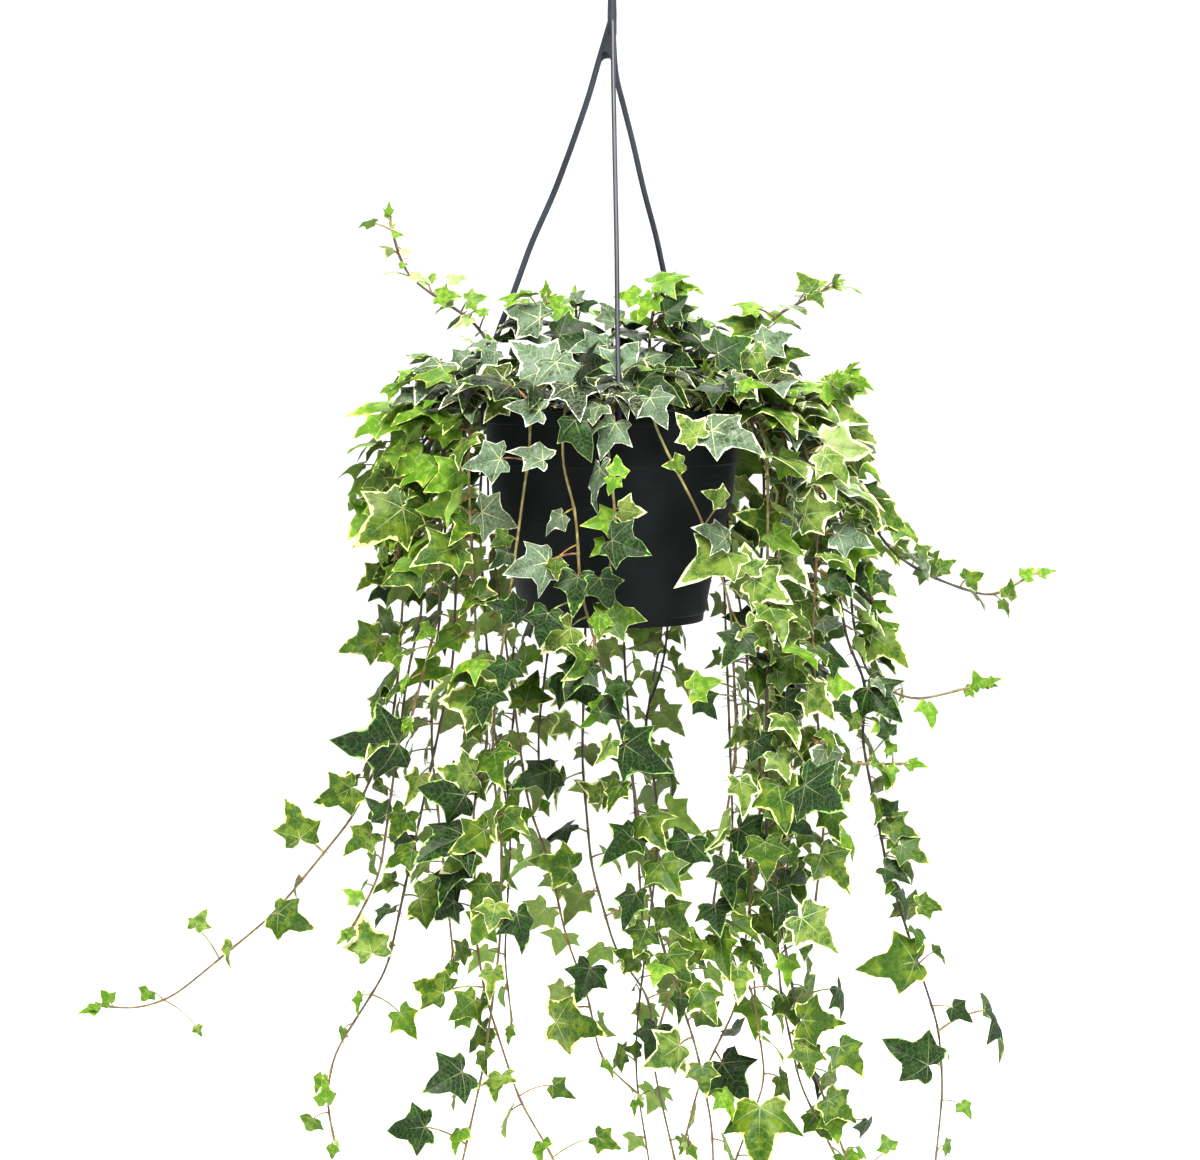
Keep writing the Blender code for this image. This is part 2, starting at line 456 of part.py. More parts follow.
def shift_off_pot(point, gap):
    """Shift that takes a point of a stem clear of the pot and its soil, the short way out."""
    nothing = Vector((0.0, 0.0, 0.0))
    reach = plan_radius(point)
    up = RIM_Z + gap - point.z
    if up <= 0.0 or point.z < RIM_Z - POT_HEIGHT - gap:
        return nothing
    needed = pot_radius(min(point.z, RIM_Z - 0.001)) + gap
    if reach >= needed:
        return nothing
    if reach < 0.080 and point.z > SOIL_Z + gap:
        return nothing
    if up < needed - reach or (reach < 0.0835 and point.z > SOIL_Z):
        return Vector((0.0, 0.0, min(up, 0.010)))
    if abs(point.x) < 0.6 * needed:
        depth = math.copysign(math.sqrt(needed ** 2 - point.x ** 2), point.y)
        return Vector((0.0, depth - point.y, 0.0))
    return Vector((point.x, point.y, 0.0)) * (needed / reach - 1.0)


def keep_off_pot(vine):
    """Moves a stem's corners until the corners and the runs between them clear the pot."""
    corners = vine.corners
    for index in range(2, len(corners)):
        gap = vine.radius_at(index / len(corners)) + STEM_POT_GAP
        corners[index] += shift_off_pot(corners[index], gap)
    for index in range(1, len(corners) - 1):
        start = corners[index]
        end = corners[index + 1]
        steps = max(2, round((end - start).length / 0.004))
        worst = Vector((0.0, 0.0, 0.0))
        place = 0.5
        for step in range(1, steps):
            point = start.lerp(end, step / steps)
            shift = shift_off_pot(point, vine.radius_at(index / len(corners)) + 0.6 * STEM_POT_GAP)
            if shift.length > worst.length:
                worst = shift
                place = step / steps
        if index >= 2:
            start += worst * min(1.0, 1.5 * (1.0 - place))
        end += worst * min(1.0, 1.5 * place)


def closest_pairs(start_a, end_a, start_b, end_b):
    """Closest points of many pairs of segments, as places along each and the vector between."""
    run_a = end_a - start_a
    run_b = end_b - start_b
    offset = start_a - start_b
    aa = np.maximum((run_a * run_a).sum(1), 1e-12)
    bb = np.maximum((run_b * run_b).sum(1), 1e-12)
    ab = (run_a * run_b).sum(1)
    ao = (run_a * offset).sum(1)
    bo = (run_b * offset).sum(1)
    denominator = np.maximum(aa * bb - ab * ab, 1e-14)
    s = np.clip((ab * bo - ao * bb) / denominator, 0.0, 1.0)
    t = np.clip((ab * s + bo) / bb, 0.0, 1.0)
    s = np.clip((ab * t - ao) / aa, 0.0, 1.0)
    apart = (start_a + run_a * s[:, None]) - (start_b + run_b * t[:, None])
    return s, t, apart


class Vine:
    """One stem: the corners of its plain solid and the smooth route through the same places."""

    def __init__(self, name, points, hanging):
        self.name = name
        fixed = min(3 if hanging else 2, len(points) - 1)
        self.kept = list(range(fixed)) + thin_out(points, fixed, len(points) - 1, STEM_TOLERANCE)
        self.kept = sorted(set(self.kept))
        self.route = [point.copy() for point in points]
        self.corners = [points[index].copy() for index in self.kept]
        self.leaves = []
        self.roots = []

    def radius_at(self, part):
        return STEM_ROOT_RADIUS + (STEM_TIP_RADIUS - STEM_ROOT_RADIUS) * part ** 0.8

    def measure(self):
        """Distances along the corners, once they have their final places."""
        self.marks = [0.0]
        for start, end in zip(self.corners, self.corners[1:]):
            self.marks.append(self.marks[-1] + (end - start).length)
        self.length = self.marks[-1]
        self.radii = [self.radius_at(mark / self.length) for mark in self.marks]

    def point_at(self, distance):
        """Place and direction at a distance along the corners."""
        index = 0
        while index < len(self.marks) - 2 and distance > self.marks[index + 1]:
            index += 1
        start = self.corners[index]
        end = self.corners[index + 1]
        run = (end - start).normalized()
        return start + run * (distance - self.marks[index]), run

    def nearest(self, target, lowest_mark):
        """Distance along the stem of the point nearest to a target, and how far that is."""
        best = (0.0, 1e9)
        for index, (start, end) in enumerate(zip(self.corners, self.corners[1:])):
            run = end - start
            along = min(max((target - start).dot(run) / run.length_squared, 0.0), 1.0)
            mark = self.marks[index] + run.length * along
            miss = (start + run * along - target).length
            if miss < best[1] and mark >= lowest_mark:
                best = (mark, miss)
        return best

    def soft_route(self, step):
        """Fine route through the photographed places, shifted as the corners were."""
        shifted = []
        for index, point in enumerate(self.route):
            later = next(item for item, kept in enumerate(self.kept) if kept >= index)
            earlier = later if self.kept[later] == index else later - 1
            shift_late = self.corners[later] - self.route[self.kept[later]]
            shift_early = self.corners[earlier] - self.route[self.kept[earlier]]
            span = max(self.kept[later] - self.kept[earlier], 1)
            part = (index - self.kept[earlier]) / span
            shifted.append(point + shift_early.lerp(shift_late, part))
        return smooth_route(shifted, step)


def strap_corners(name):
    """Corners of one strap, from the hub to the end of its peg under the rim."""
    points = [from_photo(*place) for place in STRAP_ROUTES[name]]
    points = smooth_route(points, STRAP_STEP)
    end_x = (STRAP_END_X[name] - POT_AXIS_X) * METRES_PER_PIXEL
    if not STRAP_BEHIND[name]:
        end_x *= (VIEW_DISTANCE - STRAP_RIM_RADIUS) / VIEW_DISTANCE
    end_x = max(-0.985 * STRAP_RIM_RADIUS, end_x)
    end_y = math.sqrt(STRAP_RIM_RADIUS ** 2 - end_x ** 2)
    end_y = end_y if STRAP_BEHIND[name] else -end_y
    for height in (0.004, -0.003, -PEG_DEPTH):
        points.append(Vector((end_x, end_y, RIM_Z + height)))
    return points


def set_out_vines():
    """All stems with their corners, clear of each other, of the straps and of the pot."""
    rng = random.Random(7)
    routes = {name: [from_photo(*place) for place in route] for name, route in VINE_ROUTES.items()}
    for name, values in BACK_STEMS.items():
        routes[name] = back_route(*values, rng)
    wanted = []
    for route in routes.values():
        reach = plan_radius(route[0])
        wanted.append(route[0] * (min(reach * 0.72, 0.062) / max(reach, 1e-6)))
    bases = spread_bases(wanted)
    vines = []
    for base, (name, route) in zip(bases, routes.items()):
        hanging = any(point.z < RIM_Z for point in route)
        vines.append(Vine(name, over_the_rim(base, route), hanging))
    clear_vines(vines)
    return vines


def clear_vines(vines):
    """Moves the corners of the stems apart until each keeps its gap to its neighbours."""
    straps = [strap_corners(name) for name in STRAP_ROUTES]
    lines = [vine.corners for vine in vines] + straps
    owner = []
    place = []
    for number, line in enumerate(lines):
        for index in range(len(line) - 1):
            owner.append(number)
            place.append(index)
    owner = np.array(owner)
    place = np.array(place)
    first, second = np.triu_indices(len(owner), 1)
    other = owner[first] != owner[second]
    first = first[other]
    second = second[other]
    for _ in range(CLEARING_PASSES):
        starts = np.array([lines[o][p][:] for o, p in zip(owner, place)])
        ends = np.array([lines[o][p + 1][:] for o, p in zip(owner, place)])
        thick = []
        for number, index in zip(owner, place):
            part = index / max(len(lines[number]) - 1, 1)
            thick.append(STRAP_RADIUS if number >= len(vines) else vines[number].radius_at(part))
        thick = np.array(thick)
        s, t, apart = closest_pairs(starts[first], ends[first], starts[second], ends[second])
        distance = np.linalg.norm(apart, axis=1)
        need = thick[first] + thick[second] + STEM_CLEARANCE
        short = np.nonzero(distance < need)[0]
        for pair in short:
            gap = Vector(apart[pair])
            direction = gap.normalized() if gap.length > 1e-5 else Vector((0.0, 1.0, 0.0))
            push = direction * (0.55 * (need[pair] - distance[pair]) + 0.0001)
            for segment, part, sign in ((first[pair], s[pair], 1.0), (second[pair], t[pair], -1.0)):
                line = lines[owner[segment]]
                if owner[segment] >= len(vines):
                    continue
                for corner, weight in ((place[segment], 1.0 - part), (place[segment] + 1, part)):
                    if corner >= 2 and corner < len(line):
                        line[corner] += push * (sign * max(weight, 0.15) * 1.2)
        for vine in vines:
            keep_off_pot(vine)
    for vine in vines:
        vine.measure()


def tube_shape(corners, radii, sides):
    """Vertices and faces of a plain closed tube along some corners."""
    verts = []
    faces = []
    side = None
    for index, corner in enumerate(corners):
        before = corners[max(index - 1, 0)]
        after = corners[min(index + 1, len(corners) - 1)]
        along = (after - before).normalized()
        if side is None:
            side = along.orthogonal().normalized()
        side = (side - along * side.dot(along)).normalized()
        other = along.cross(side)
        for turn in range(sides):
            angle = 2.0 * math.pi * turn / sides
            verts.append(corner + (side * math.cos(angle) + other * math.sin(angle)) * radii[index])
    for ring in range(len(corners) - 1):
        for turn in range(sides):
            a = ring * sides + turn
            b = ring * sides + (turn + 1) % sides
            faces.append((a, b, b + sides, a + sides))
    faces.append(tuple(range(sides))[::-1])
    faces.append(tuple(range(len(verts) - sides, len(verts))))
    return verts, faces


def turned_shape(profile, sides):
    """Vertices and faces of a closed turned solid from (height, radius) rows."""
    verts = []
    faces = []
    for height, radius in profile:
        for turn in range(sides):
            angle = 2.0 * math.pi * turn / sides
            verts.append(Vector((radius * math.cos(angle), radius * math.sin(angle), height)))
    for ring in range(len(profile) - 1):
        for turn in range(sides):
            a = ring * sides + turn
            b = ring * sides + (turn + 1) % sides
            faces.append((a, b, b + sides, a + sides))
    return verts, faces


def pot_guard():
    """Envelope of the pot and its soil, 1 mm out, that no leaf may cross."""
    margin = 1.0 * MM
    inside = 82.4 * MM
    rows = [(SOIL_Z + margin, 0.0005), (SOIL_Z + margin, inside), (RIM_Z + margin, inside)]
    rows.append((RIM_Z + margin, POT_OUTER[1][1] * MM + margin))
    for depth, radius in POT_OUTER[2:]:
        rows.append((RIM_Z - depth * MM - (margin if radius > 86.0 else 0.0), radius * MM + margin))
    rows.append((RIM_Z - POT_HEIGHT - margin, POT_OUTER[-1][1] * MM + margin))
    rows.append((RIM_Z - POT_HEIGHT - margin, 0.0005))
    return turned_shape(rows, 48)


class Leaf:
    """One leaf: its blade's frame, its size and the place of its stalk on a stem."""

    def __init__(self, kind, joint, along, face, length, vine, mark, curl=1.0, width=1.0):
        self.kind = kind
        self.joint = joint
        self.length = length
        self.vine = vine
        self.mark = mark
        self.curl = curl
        self.width = width
        self.along = along.normalized()
        self.face = (face - self.along * face.dot(self.along)).normalized()
        self.across = self.along.cross(self.face)
        self.root = vine.point_at(mark)[0]

    def stalk_tree(self):
        """The stalk alone, a little thicker and short of the blade, for the test against the blade."""
        end = self.joint - self.stalk_direction() * min(2.5 * MM, 0.4 * (self.joint - self.root).length)
        radii = [1.4 * PETIOLE_RADIUS] * 2
        return BVHTree.FromPolygons(*tube_shape([self.root, end], radii, 4))

    def outline(self):
        """Points of the blade's edge, from the right base lobe round the tip to the left one."""
        small = self.kind[0] in "lp" or self.length < SMALL_LEAF
        half = THREE_LOBES if small else FIVE_LOBES
        rows = half + [(-x, y, z) for x, y, z in reversed(half[:-1])]
        return [(x * self.width, y, z * self.curl) for x, y, z in rows]

    def spot(self, x, y, z):
        """World place of a spot given in mm in the blade's own frame."""
        return self.joint + (self.across * x + self.along * y + self.face * z) * MM

    def stalk_direction(self):
        return (self.joint - self.root).normalized()

    def fits_its_stalk(self):
        """Whether the stalk reaches the blade from behind or from its base."""
        return self.stalk_direction().dot(self.along * 0.633 + self.face * 0.774) > 0.3

    def shape(self, grow):
        """Vertices and faces of the closed leaf with its stalk, all of it larger by grow."""
        size = self.length / MM
        stretch = grow / MM
        radius = PETIOLE_RADIUS / MM
        verts = []
        for x, y, z in self.outline():
            spread = 1.0 + stretch / (0.45 * size)
            verts.append(self.spot(x * size * spread, y * size * spread, z * size))
        edge = len(verts)
        top = self.spot(0.0, -0.9 * radius - stretch, 0.75 * radius + stretch)
        left = self.spot(-radius - stretch, 0.75 * radius, -0.6 * radius - stretch)
        right = self.spot(radius + stretch, 0.75 * radius, -0.6 * radius - stretch)
        verts += [top, left, right]
        stalk = self.stalk_direction()
        centre = (top + left + right) / 3.0
        for point in (top, left, right):
            offset = point - centre
            verts.append(self.root + (offset - stalk * offset.dot(stalk)))
        t, l, r = edge, edge + 1, edge + 2
        faces = [(t, index, index + 1) for index in range(edge - 1)]
        tip = edge // 2
        faces += [(r, index + 1, index) for index in range(tip)]
        faces += [(l, index + 1, index) for index in range(tip, edge - 1)]
        faces += [(l, tip, r), (t, r, 0), (t, edge - 1, l)]
        faces += [(t, l, l + 3), (t, l + 3, t + 3), (l, r, r + 3), (l, r + 3, l + 3)]
        faces += [(r, t, t + 3), (r, t + 3, r + 3), (t + 3, l + 3, r + 3)]
        return verts, faces

    def blade_faces(self, faces):
        """The faces of the blade alone, without the stalk."""
        return faces[:-7]


class Thicket:
    """Everything placed so far, to test whether a new leaf is clear of it."""

    def __init__(self, vines):
        self.vines = vines
        self.leaves = []
        self.centres = np.zeros((0, 3))
        self.reaches = np.zeros(0)
        self.trees = []
        self.stem_trees = []
        for vine in vines:
            radii = [1.15 * radius + LEAF_GAP for radius in vine.radii]
            self.stem_trees.append(BVHTree.FromPolygons(*tube_shape(vine.corners, radii, 4)))
        self.guards = [BVHTree.FromPolygons(*pot_guard())]
        for name in STRAP_ROUTES:
            corners = strap_corners(name)
            radii = [1.15 * STRAP_RADIUS + LEAF_GAP] * len(corners)
            self.guards.append(BVHTree.FromPolygons(*tube_shape(corners, radii, 6)))

    def is_clear(self, leaf):
        """Whether a grown copy of the leaf touches nothing."""
        if not leaf.fits_its_stalk():
            return False
        if any(abs(mark - leaf.mark) < ROOT_SPACING for mark in leaf.vine.roots):
            return False
        if any(abs(mark - leaf.mark) < CORNER_GAP for mark in leaf.vine.marks):
            return False
        verts, faces = leaf.shape(LEAF_GAP)
        tree = BVHTree.FromPolygons(verts, faces)
        blade = BVHTree.FromPolygons(verts, leaf.blade_faces(faces)[:-3])
        if blade.overlap(leaf.stalk_tree()):
            return False
        for guard in self.guards:
            if tree.overlap(guard):
                return False
        for vine, stem_tree in zip(self.vines, self.stem_trees):
            if vine is leaf.vine:
                if blade.overlap(stem_tree):
                    return False
            elif tree.overlap(stem_tree):
                return False
        points = np.array([vert[:] for vert in verts])
        centre = points.mean(0)
        reach = np.linalg.norm(points - centre, axis=1).max()
        if len(self.leaves):
            near = np.linalg.norm(self.centres - centre, axis=1) < self.reaches + reach
            for index in np.nonzero(near)[0]:
                if tree.overlap(self.trees[index]):
                    return False
        return True

    def add(self, leaf):
        verts, faces = leaf.shape(0.0)
        points = np.array([vert[:] for vert in verts])
        centre = points.mean(0)
        self.centres = np.vstack([self.centres, centre])
        self.reaches = np.append(self.reaches, np.linalg.norm(points - centre, axis=1).max())
        self.trees.append(BVHTree.FromPolygons(verts, faces))
        self.leaves.append(leaf)
        leaf.vine.leaves.append(leaf)
        leaf.vine.roots.append(leaf.mark)


def over_the_pot(pixel_x, pixel_y):
    """Whether a pixel of the photograph lies over the pot, where only front stems are seen."""
    return 490 < pixel_x < 735 and 405 < pixel_y < 640


def stem_seen_at(vines, pixel_x, pixel_y):
    """Stem that passes nearest to a pixel in the view, with a slight preference for the front."""
    best = None
    for vine in vines:
        if vine.name.startswith("rear"):
            continue
        for depth in (-90, -60, -30, 0, 30, 60, 90):
            target = from_photo(pixel_x, pixel_y, depth)
            mark, miss = vine.nearest(target, vine.marks[1] + 0.004)
            place = vine.point_at(mark)[0]
            seen = from_photo(pixel_x, pixel_y, place.y / MM)
            score = (seen - place).length + 0.06 * (place.y + 0.1)
            if over_the_pot(pixel_x, pixel_y) and place.y > -0.02:
                score += 1.0
            if best is None or score < best[0]:
                best = (score, vine, mark)
    return best[1], best[2]


def marked_leaf(kind, joint, seen, vine, root, size, twist, lift, curl):
    """A leaf read from the photograph, with its face turned so that its stalk comes from behind."""
    normal = Vector((math.sin(twist), -math.cos(twist), lift)).normalized()
    along = Vector((seen.x, -(seen.x * normal.x + seen.z * normal.z) / normal.y, seen.z))
    if kind.endswith("n"):
        along = seen
        normal = Vector((0.88, -0.47, 0.1))
        if (joint - vine.point_at(root)[0]).x < 0.0:
            normal.x = -normal.x
    width = FOLDED_WIDTH if kind.endswith("f") else 1.0
    return Leaf(kind, joint, along, normal, along.length * size, vine, root, curl, width)


def place_marked_leaf(thicket, mark_row, rng):
    """Places one leaf read from the photograph, at the first depth and size that is clear."""
    kind, base_x, base_y, tip_x, tip_y = mark_row
    vine, mark = stem_seen_at(thicket.vines, base_x, base_y)
    stem_depth = vine.point_at(mark)[0].y / MM
    twist = rng.uniform(-0.3, 0.3)
    lift = rng.uniform(0.2, 0.5)
    curl = 0.6 + 0.8 * rng.random()
    for shrink in (1.0, 0.88, 0.76):
        for offset in (-12, -8, -17, -23, -5, -30, -38, 10, 16, -48, 24):
            for slide in (0.0, 5.0, -5.0, 10.0, -10.0, 15.0, -15.0):
                depth = stem_depth + offset
                joint = from_photo(base_x, base_y, depth)
                seen = from_photo(tip_x, tip_y, depth) - joint
                root = min(max(mark + slide * MM, vine.marks[1] + 0.004), vine.length - 0.0025)
                leaf = marked_leaf(kind, joint, seen, vine, root, shrink, twist, lift, curl)
                if (joint - leaf.root).length < PETIOLE_LIMIT and thicket.is_clear(leaf):
                    thicket.add(leaf)
                    return


def leaf_spacing(point):
    """Distance along a stem between leaves that follow the rule: close at the top, wide below."""
    below = RIM_Z - point.z
    if below < 0.17:
        return 0.027
    return 0.045 + 0.050 * min((below - 0.17) / 0.2, 1.0)


def before_the_pot(point):
    """Whether a point lies in the window where the photograph shows the bare pot."""
    return point.y < -0.05 and abs(point.x) < 0.088 and RIM_Z - POT_HEIGHT - 0.012 < point.z < RIM_Z + 0.004


def place_rule_leaves(thicket, vine, rng, limit):
    """Leaves on alternate sides of a stem, where none was read from the photograph."""
    placed = 0
    mark = vine.marks[1] + rng.uniform(0.012, 0.028)
    side = rng.choice((-1.0, 1.0))
    while mark < vine.length and placed < limit:
        point = vine.point_at(mark)[0]
        taken = any(abs(root - mark) < 0.009 for root in vine.roots)
        if not taken and not before_the_pot(point):
            placed += place_rule_leaf(thicket, vine, mark, side, rng)
            side = -side
        step = leaf_spacing(point)
        if vine.name.startswith("rear"):
            step = vine.length / (limit + 1.0)
        mark += step * rng.uniform(0.8, 1.2)


def place_rule_leaf(thicket, vine, mark, side, rng):
    """One leaf on a stem, turned to the outside with its tip hanging."""
    point = vine.point_at(mark)[0]
    outward = Vector((point.x, point.y, 0.0))
    outward = outward.normalized() if outward.length > 0.03 else Vector((0.0, -1.0, 0.0))
    crown = point.z > RIM_Z - 0.01
    age = 1.0 - mark / vine.length
    for attempt in range(9):
        turn = side * rng.uniform(0.3, 1.3) * (1.0 if attempt < 6 else -1.0)
        aside = Vector((-outward.y, outward.x, 0.0)) * math.sin(turn) + outward * math.cos(turn)
        rise = rng.uniform(0.2, 0.9) if crown else rng.uniform(-0.35, 0.5)
        stalk = (aside + Vector((0.0, 0.0, rise))).normalized()
        stalk_length = rng.uniform(0.012, 0.026) * (1.25 if crown else 1.0)
        size = (0.017 + 0.014 * min(age * 1.6, 1.0)) * rng.uniform(0.82, 1.15)
        size *= 1.0 if attempt < 5 else 0.8
        joint = point + stalk * stalk_length
        droop = Vector((0.0, 0.0, -0.45 if crown else -1.0))
        along = (stalk * rng.uniform(0.4, 0.9) + droop * rng.uniform(0.5, 1.0)).normalized()
        face = outward * (0.5 if crown else 0.8) + Vector((0.0, 0.0, 1.0 if crown else 0.45))
        if point.y < 0.03:
            face += Vector((0.0, -0.8, 0.0))
        face += Vector((rng.uniform(-0.4, 0.4), rng.uniform(-0.4, 0.4), 0.0))
        kind = "l" if age < 0.12 else "r"
        leaf = Leaf(kind, joint, along, face, size, vine, mark, 0.6 + 0.8 * rng.random())
        if thicket.is_clear(leaf):
            thicket.add(leaf)
            return 1
    return 0


def grow_ivy():
    """All stems with their leaves: those read from the photograph first, then those by rule."""
    vines = set_out_vines()
    thicket = Thicket(vines)
    rng = random.Random(11)
    for rows in LEAF_MARKS.values():
        for row in rows:
            place_marked_leaf(thicket, row, rng)
    for vine in vines:
        limit = RULE_LIMITS.get(vine.name.split("_")[0], SIDE_LIMIT)
        place_rule_leaves(thicket, vine, random.Random(vine.name), limit)
    return vines


def clear_scene():
    for item in list(bpy.data.objects):
        bpy.data.objects.remove(item, do_unlink=True)


def new_collection(name, hidden=False):
    collection = bpy.data.collections.new(name)
    bpy.context.scene.collection.children.link(collection)
    collection.hide_render = hidden
    return collection


def make_material(name, colour, roughness, metallic=0.0):
    material = bpy.data.materials.new(name)
    material.use_nodes = True
    shader = material.node_tree.nodes["Principled BSDF"]
    shader.inputs["Base Color"].default_value = (*colour, 1.0)
    shader.inputs["Roughness"].default_value = roughness
    shader.inputs["Metallic"].default_value = metallic
    material.diffuse_color = (*colour, 1.0)
    return material


def mesh_object(name, verts, faces, collection):
    mesh = bpy.data.meshes.new(name)
    mesh.from_pydata([tuple(vert) for vert in verts], [], faces)
    item = bpy.data.objects.new(name, mesh)
    collection.objects.link(item)
    turn_faces_out(mesh)
    return item


def turn_faces_out(mesh):
    work = bmesh.new()
    work.from_mesh(mesh)
    bmesh.ops.recalc_face_normals(work, faces=work.faces)
    work.to_mesh(mesh)
    work.free()


def turned_object(name, profile, sides, collection):
    """A profile of (radius, height) points, run round the axis with a Screw modifier."""
    mesh = bpy.data.meshes.new(name)
    edges = [(index, index + 1) for index in range(len(profile) - 1)]
    mesh.from_pydata([(radius, 0.0, height) for radius, height in profile], edges, [])
    item = bpy.data.objects.new(name, mesh)
    collection.objects.link(item)
    screw = item.modifiers.new("turn", "SCREW")
    screw.axis = "Z"
    screw.steps = sides
    screw.render_steps = sides
    screw.use_merge_vertices = True
    screw.merge_threshold = 0.00001
    screw.use_smooth_shade = False
    return item


def box_object(name, centre, size, angle, collection):
    mesh = bpy.data.meshes.new(name)
    work = bmesh.new()
    bmesh.ops.create_cube(work, size=1.0)
    bmesh.ops.scale(work, vec=size, verts=work.verts)
    work.to_mesh(mesh)
    work.free()
    item = bpy.data.objects.new(name, mesh)
    item.location = centre
    item.rotation_euler = (0.0, 0.0, angle)
    collection.objects.link(item)
    return item


def prism_object(name, centre, radius, height, sides, collection):
    """An upright prism standing on its centre point."""
    mesh = bpy.data.meshes.new(name)
    work = bmesh.new()
    bmesh.ops.create_cone(work, cap_ends=True, segments=sides, radius1=radius, radius2=radius, depth=height)
    bmesh.ops.translate(work, vec=(0.0, 0.0, height / 2.0), verts=work.verts)
    work.to_mesh(mesh)
    work.free()
    item = bpy.data.objects.new(name, mesh)
    item.location = centre
    collection.objects.link(item)
    return item


def tube_object(name, corners, radii, resolution, collection, section=None):
    """A curve with a round or a given section, made a closed mesh with welded caps."""
    curve = bpy.data.curves.new(name, "CURVE")
    curve.dimensions = "3D"
    spline = curve.splines.new("POLY")
    spline.points.add(len(corners) - 1)
    for point, corner, radius in zip(spline.points, corners, radii):
        point.co = (*corner, 1.0)
        point.radius = radius
    if section is None:
        curve.bevel_depth = 1.0
        curve.bevel_resolution = resolution
    else:
        curve.bevel_mode = "OBJECT"
        curve.bevel_object = section
    curve.use_fill_caps = True
    guide = bpy.data.objects.new(name + "_guide", curve)
    collection.objects.link(guide)
    graph = bpy.context.evaluated_depsgraph_get()
    graph.update()
    mesh = bpy.data.meshes.new_from_object(guide.evaluated_get(graph))
    bpy.data.objects.remove(guide, do_unlink=True)
    work = bmesh.new()
    work.from_mesh(mesh)
    bmesh.ops.remove_doubles(work, verts=work.verts, dist=0.00001)
    bmesh.ops.recalc_face_normals(work, faces=work.faces)
    work.to_mesh(mesh)
    work.free()
    item = bpy.data.objects.new(name, mesh)
    collection.objects.link(item)
    return item


def stem_section(collection):
    """Three-sided section of the stems, one unit in radius."""
    curve = bpy.data.curves.new("stem_section", "CURVE")
    curve.dimensions = "2D"
    spline = curve.splines.new("POLY")
    spline.points.add(2)
    spline.use_cyclic_u = True
    for turn in range(3):
        angle = 2.0 * math.pi * turn / 3.0
        spline.points[turn].co = (math.cos(angle), math.sin(angle), 0.0, 1.0)
    item = bpy.data.objects.new("stem_section", curve)
    item.hide_render = True
    item.display_type = "WIRE"
    collection.objects.link(item)
    return item


def split_cleanly(mesh):
    """Welds and splits a mesh into triangles, and says whether every edge has two of them."""
    for method in ("BEAUTY", "EAR_CLIP"):
        work = bmesh.new()
        work.from_mesh(mesh)
        bmesh.ops.remove_doubles(work, verts=work.verts, dist=0.000004)
        bmesh.ops.triangulate(work, faces=work.faces, ngon_method=method)
        closed = all(edge.is_manifold for edge in work.edges)
        if closed or method == "EAR_CLIP":
            work.to_mesh(mesh)
        work.free()
        if closed:
            return True
    return False


def apply_boolean(item, collection, operation):
    """Joins or cuts an object with all objects of a collection, and keeps the result as its mesh."""
    boolean = item.modifiers.new("join", "BOOLEAN")
    boolean.operation = operation
    boolean.operand_type = "COLLECTION"
    boolean.collection = collection
    for solver in ("EXACT", "MANIFOLD"):
        boolean.solver = solver
        graph = bpy.context.evaluated_depsgraph_get()
        graph.update()
        mesh = bpy.data.meshes.new_from_object(item.evaluated_get(graph))
        if split_cleanly(mesh):
            break
    item.modifiers.clear()
    item.data = mesh
    for operand in list(collection.objects):
        bpy.data.objects.remove(operand, do_unlink=True)
    bpy.data.collections.remove(collection)


def build_pot(parts):
    """The pot: a turned wall with a rim band, peg slots under the rim and drain holes."""
    outer = [(radius * MM, RIM_Z - depth * MM) for depth, radius in POT_OUTER]
    inner = [(radius * MM, RIM_Z - depth * MM) for depth, radius in POT_INNER]
    profile = [(0.0, inner[0][1])] + inner + outer + [(0.0, outer[-1][1])]
    pot = turned_object("pot", profile, POT_SIDES, parts)
    cutters = new_collection("pot_cutters", hidden=True)
    for name in STRAP_ROUTES:
        end = strap_corners(name)[-1]
        angle = math.atan2(end.y, end.x)
        middle = 0.0835
        centre = (middle * math.cos(angle), middle * math.sin(angle), RIM_Z - PEG_DEPTH)
        size = (0.008, PEG_WIDTH + 2.0 * PEG_SLOT_GAP, PEG_THICKNESS + 2.0 * PEG_SLOT_GAP)
        box_object("slot_" + name, centre, size, angle, cutters)
    for index in range(DRAIN_COUNT):
        angle = 2.0 * math.pi * (index + 0.5) / DRAIN_COUNT
        centre = (DRAIN_RING * math.cos(angle), DRAIN_RING * math.sin(angle), RIM_Z - POT_HEIGHT - 0.002)
        prism_object("drain_%d" % index, centre, DRAIN_RADIUS, 0.008, 8, cutters)
    apply_boolean(pot, cutters, "DIFFERENCE")
    return pot


def build_soil(parts, vines):
    """The soil: it fills the pot to its level, with a plain hole for each stem."""
    rows = []
    floor_depth = POT_INNER[0][0]
    for depth, radius in POT_INNER:
        if depth > SOIL_DEPTH / MM:
            drop = SOIL_GAP if depth == floor_depth else 0.0
            rows.append((radius * MM - SOIL_GAP, RIM_Z - depth * MM + drop))
    top_radius = float(np.interp(SOIL_DEPTH / MM, [0.0, 36.8], [83.6, 81.8])) * MM - SOIL_GAP
    rows.append((top_radius, SOIL_Z))
    rows = rows[::-1]
    profile = [(0.0, SOIL_Z)] + rows + [(0.0, rows[-1][1])]
    soil = turned_object("soil", profile, POT_SIDES, parts)
    cutters = new_collection("soil_cutters", hidden=True)
    for vine in vines:
        foot = vine.corners[0]
        centre = (foot.x, foot.y, SOIL_Z - STEM_HOLE_DEPTH)
        prism_object("hole_" + vine.name, centre, STEM_HOLE_RADIUS, STEM_HOLE_DEPTH + 0.004,
                     STEM_HOLE_SIDES, cutters)
    apply_boolean(soil, cutters, "DIFFERENCE")
    return soil


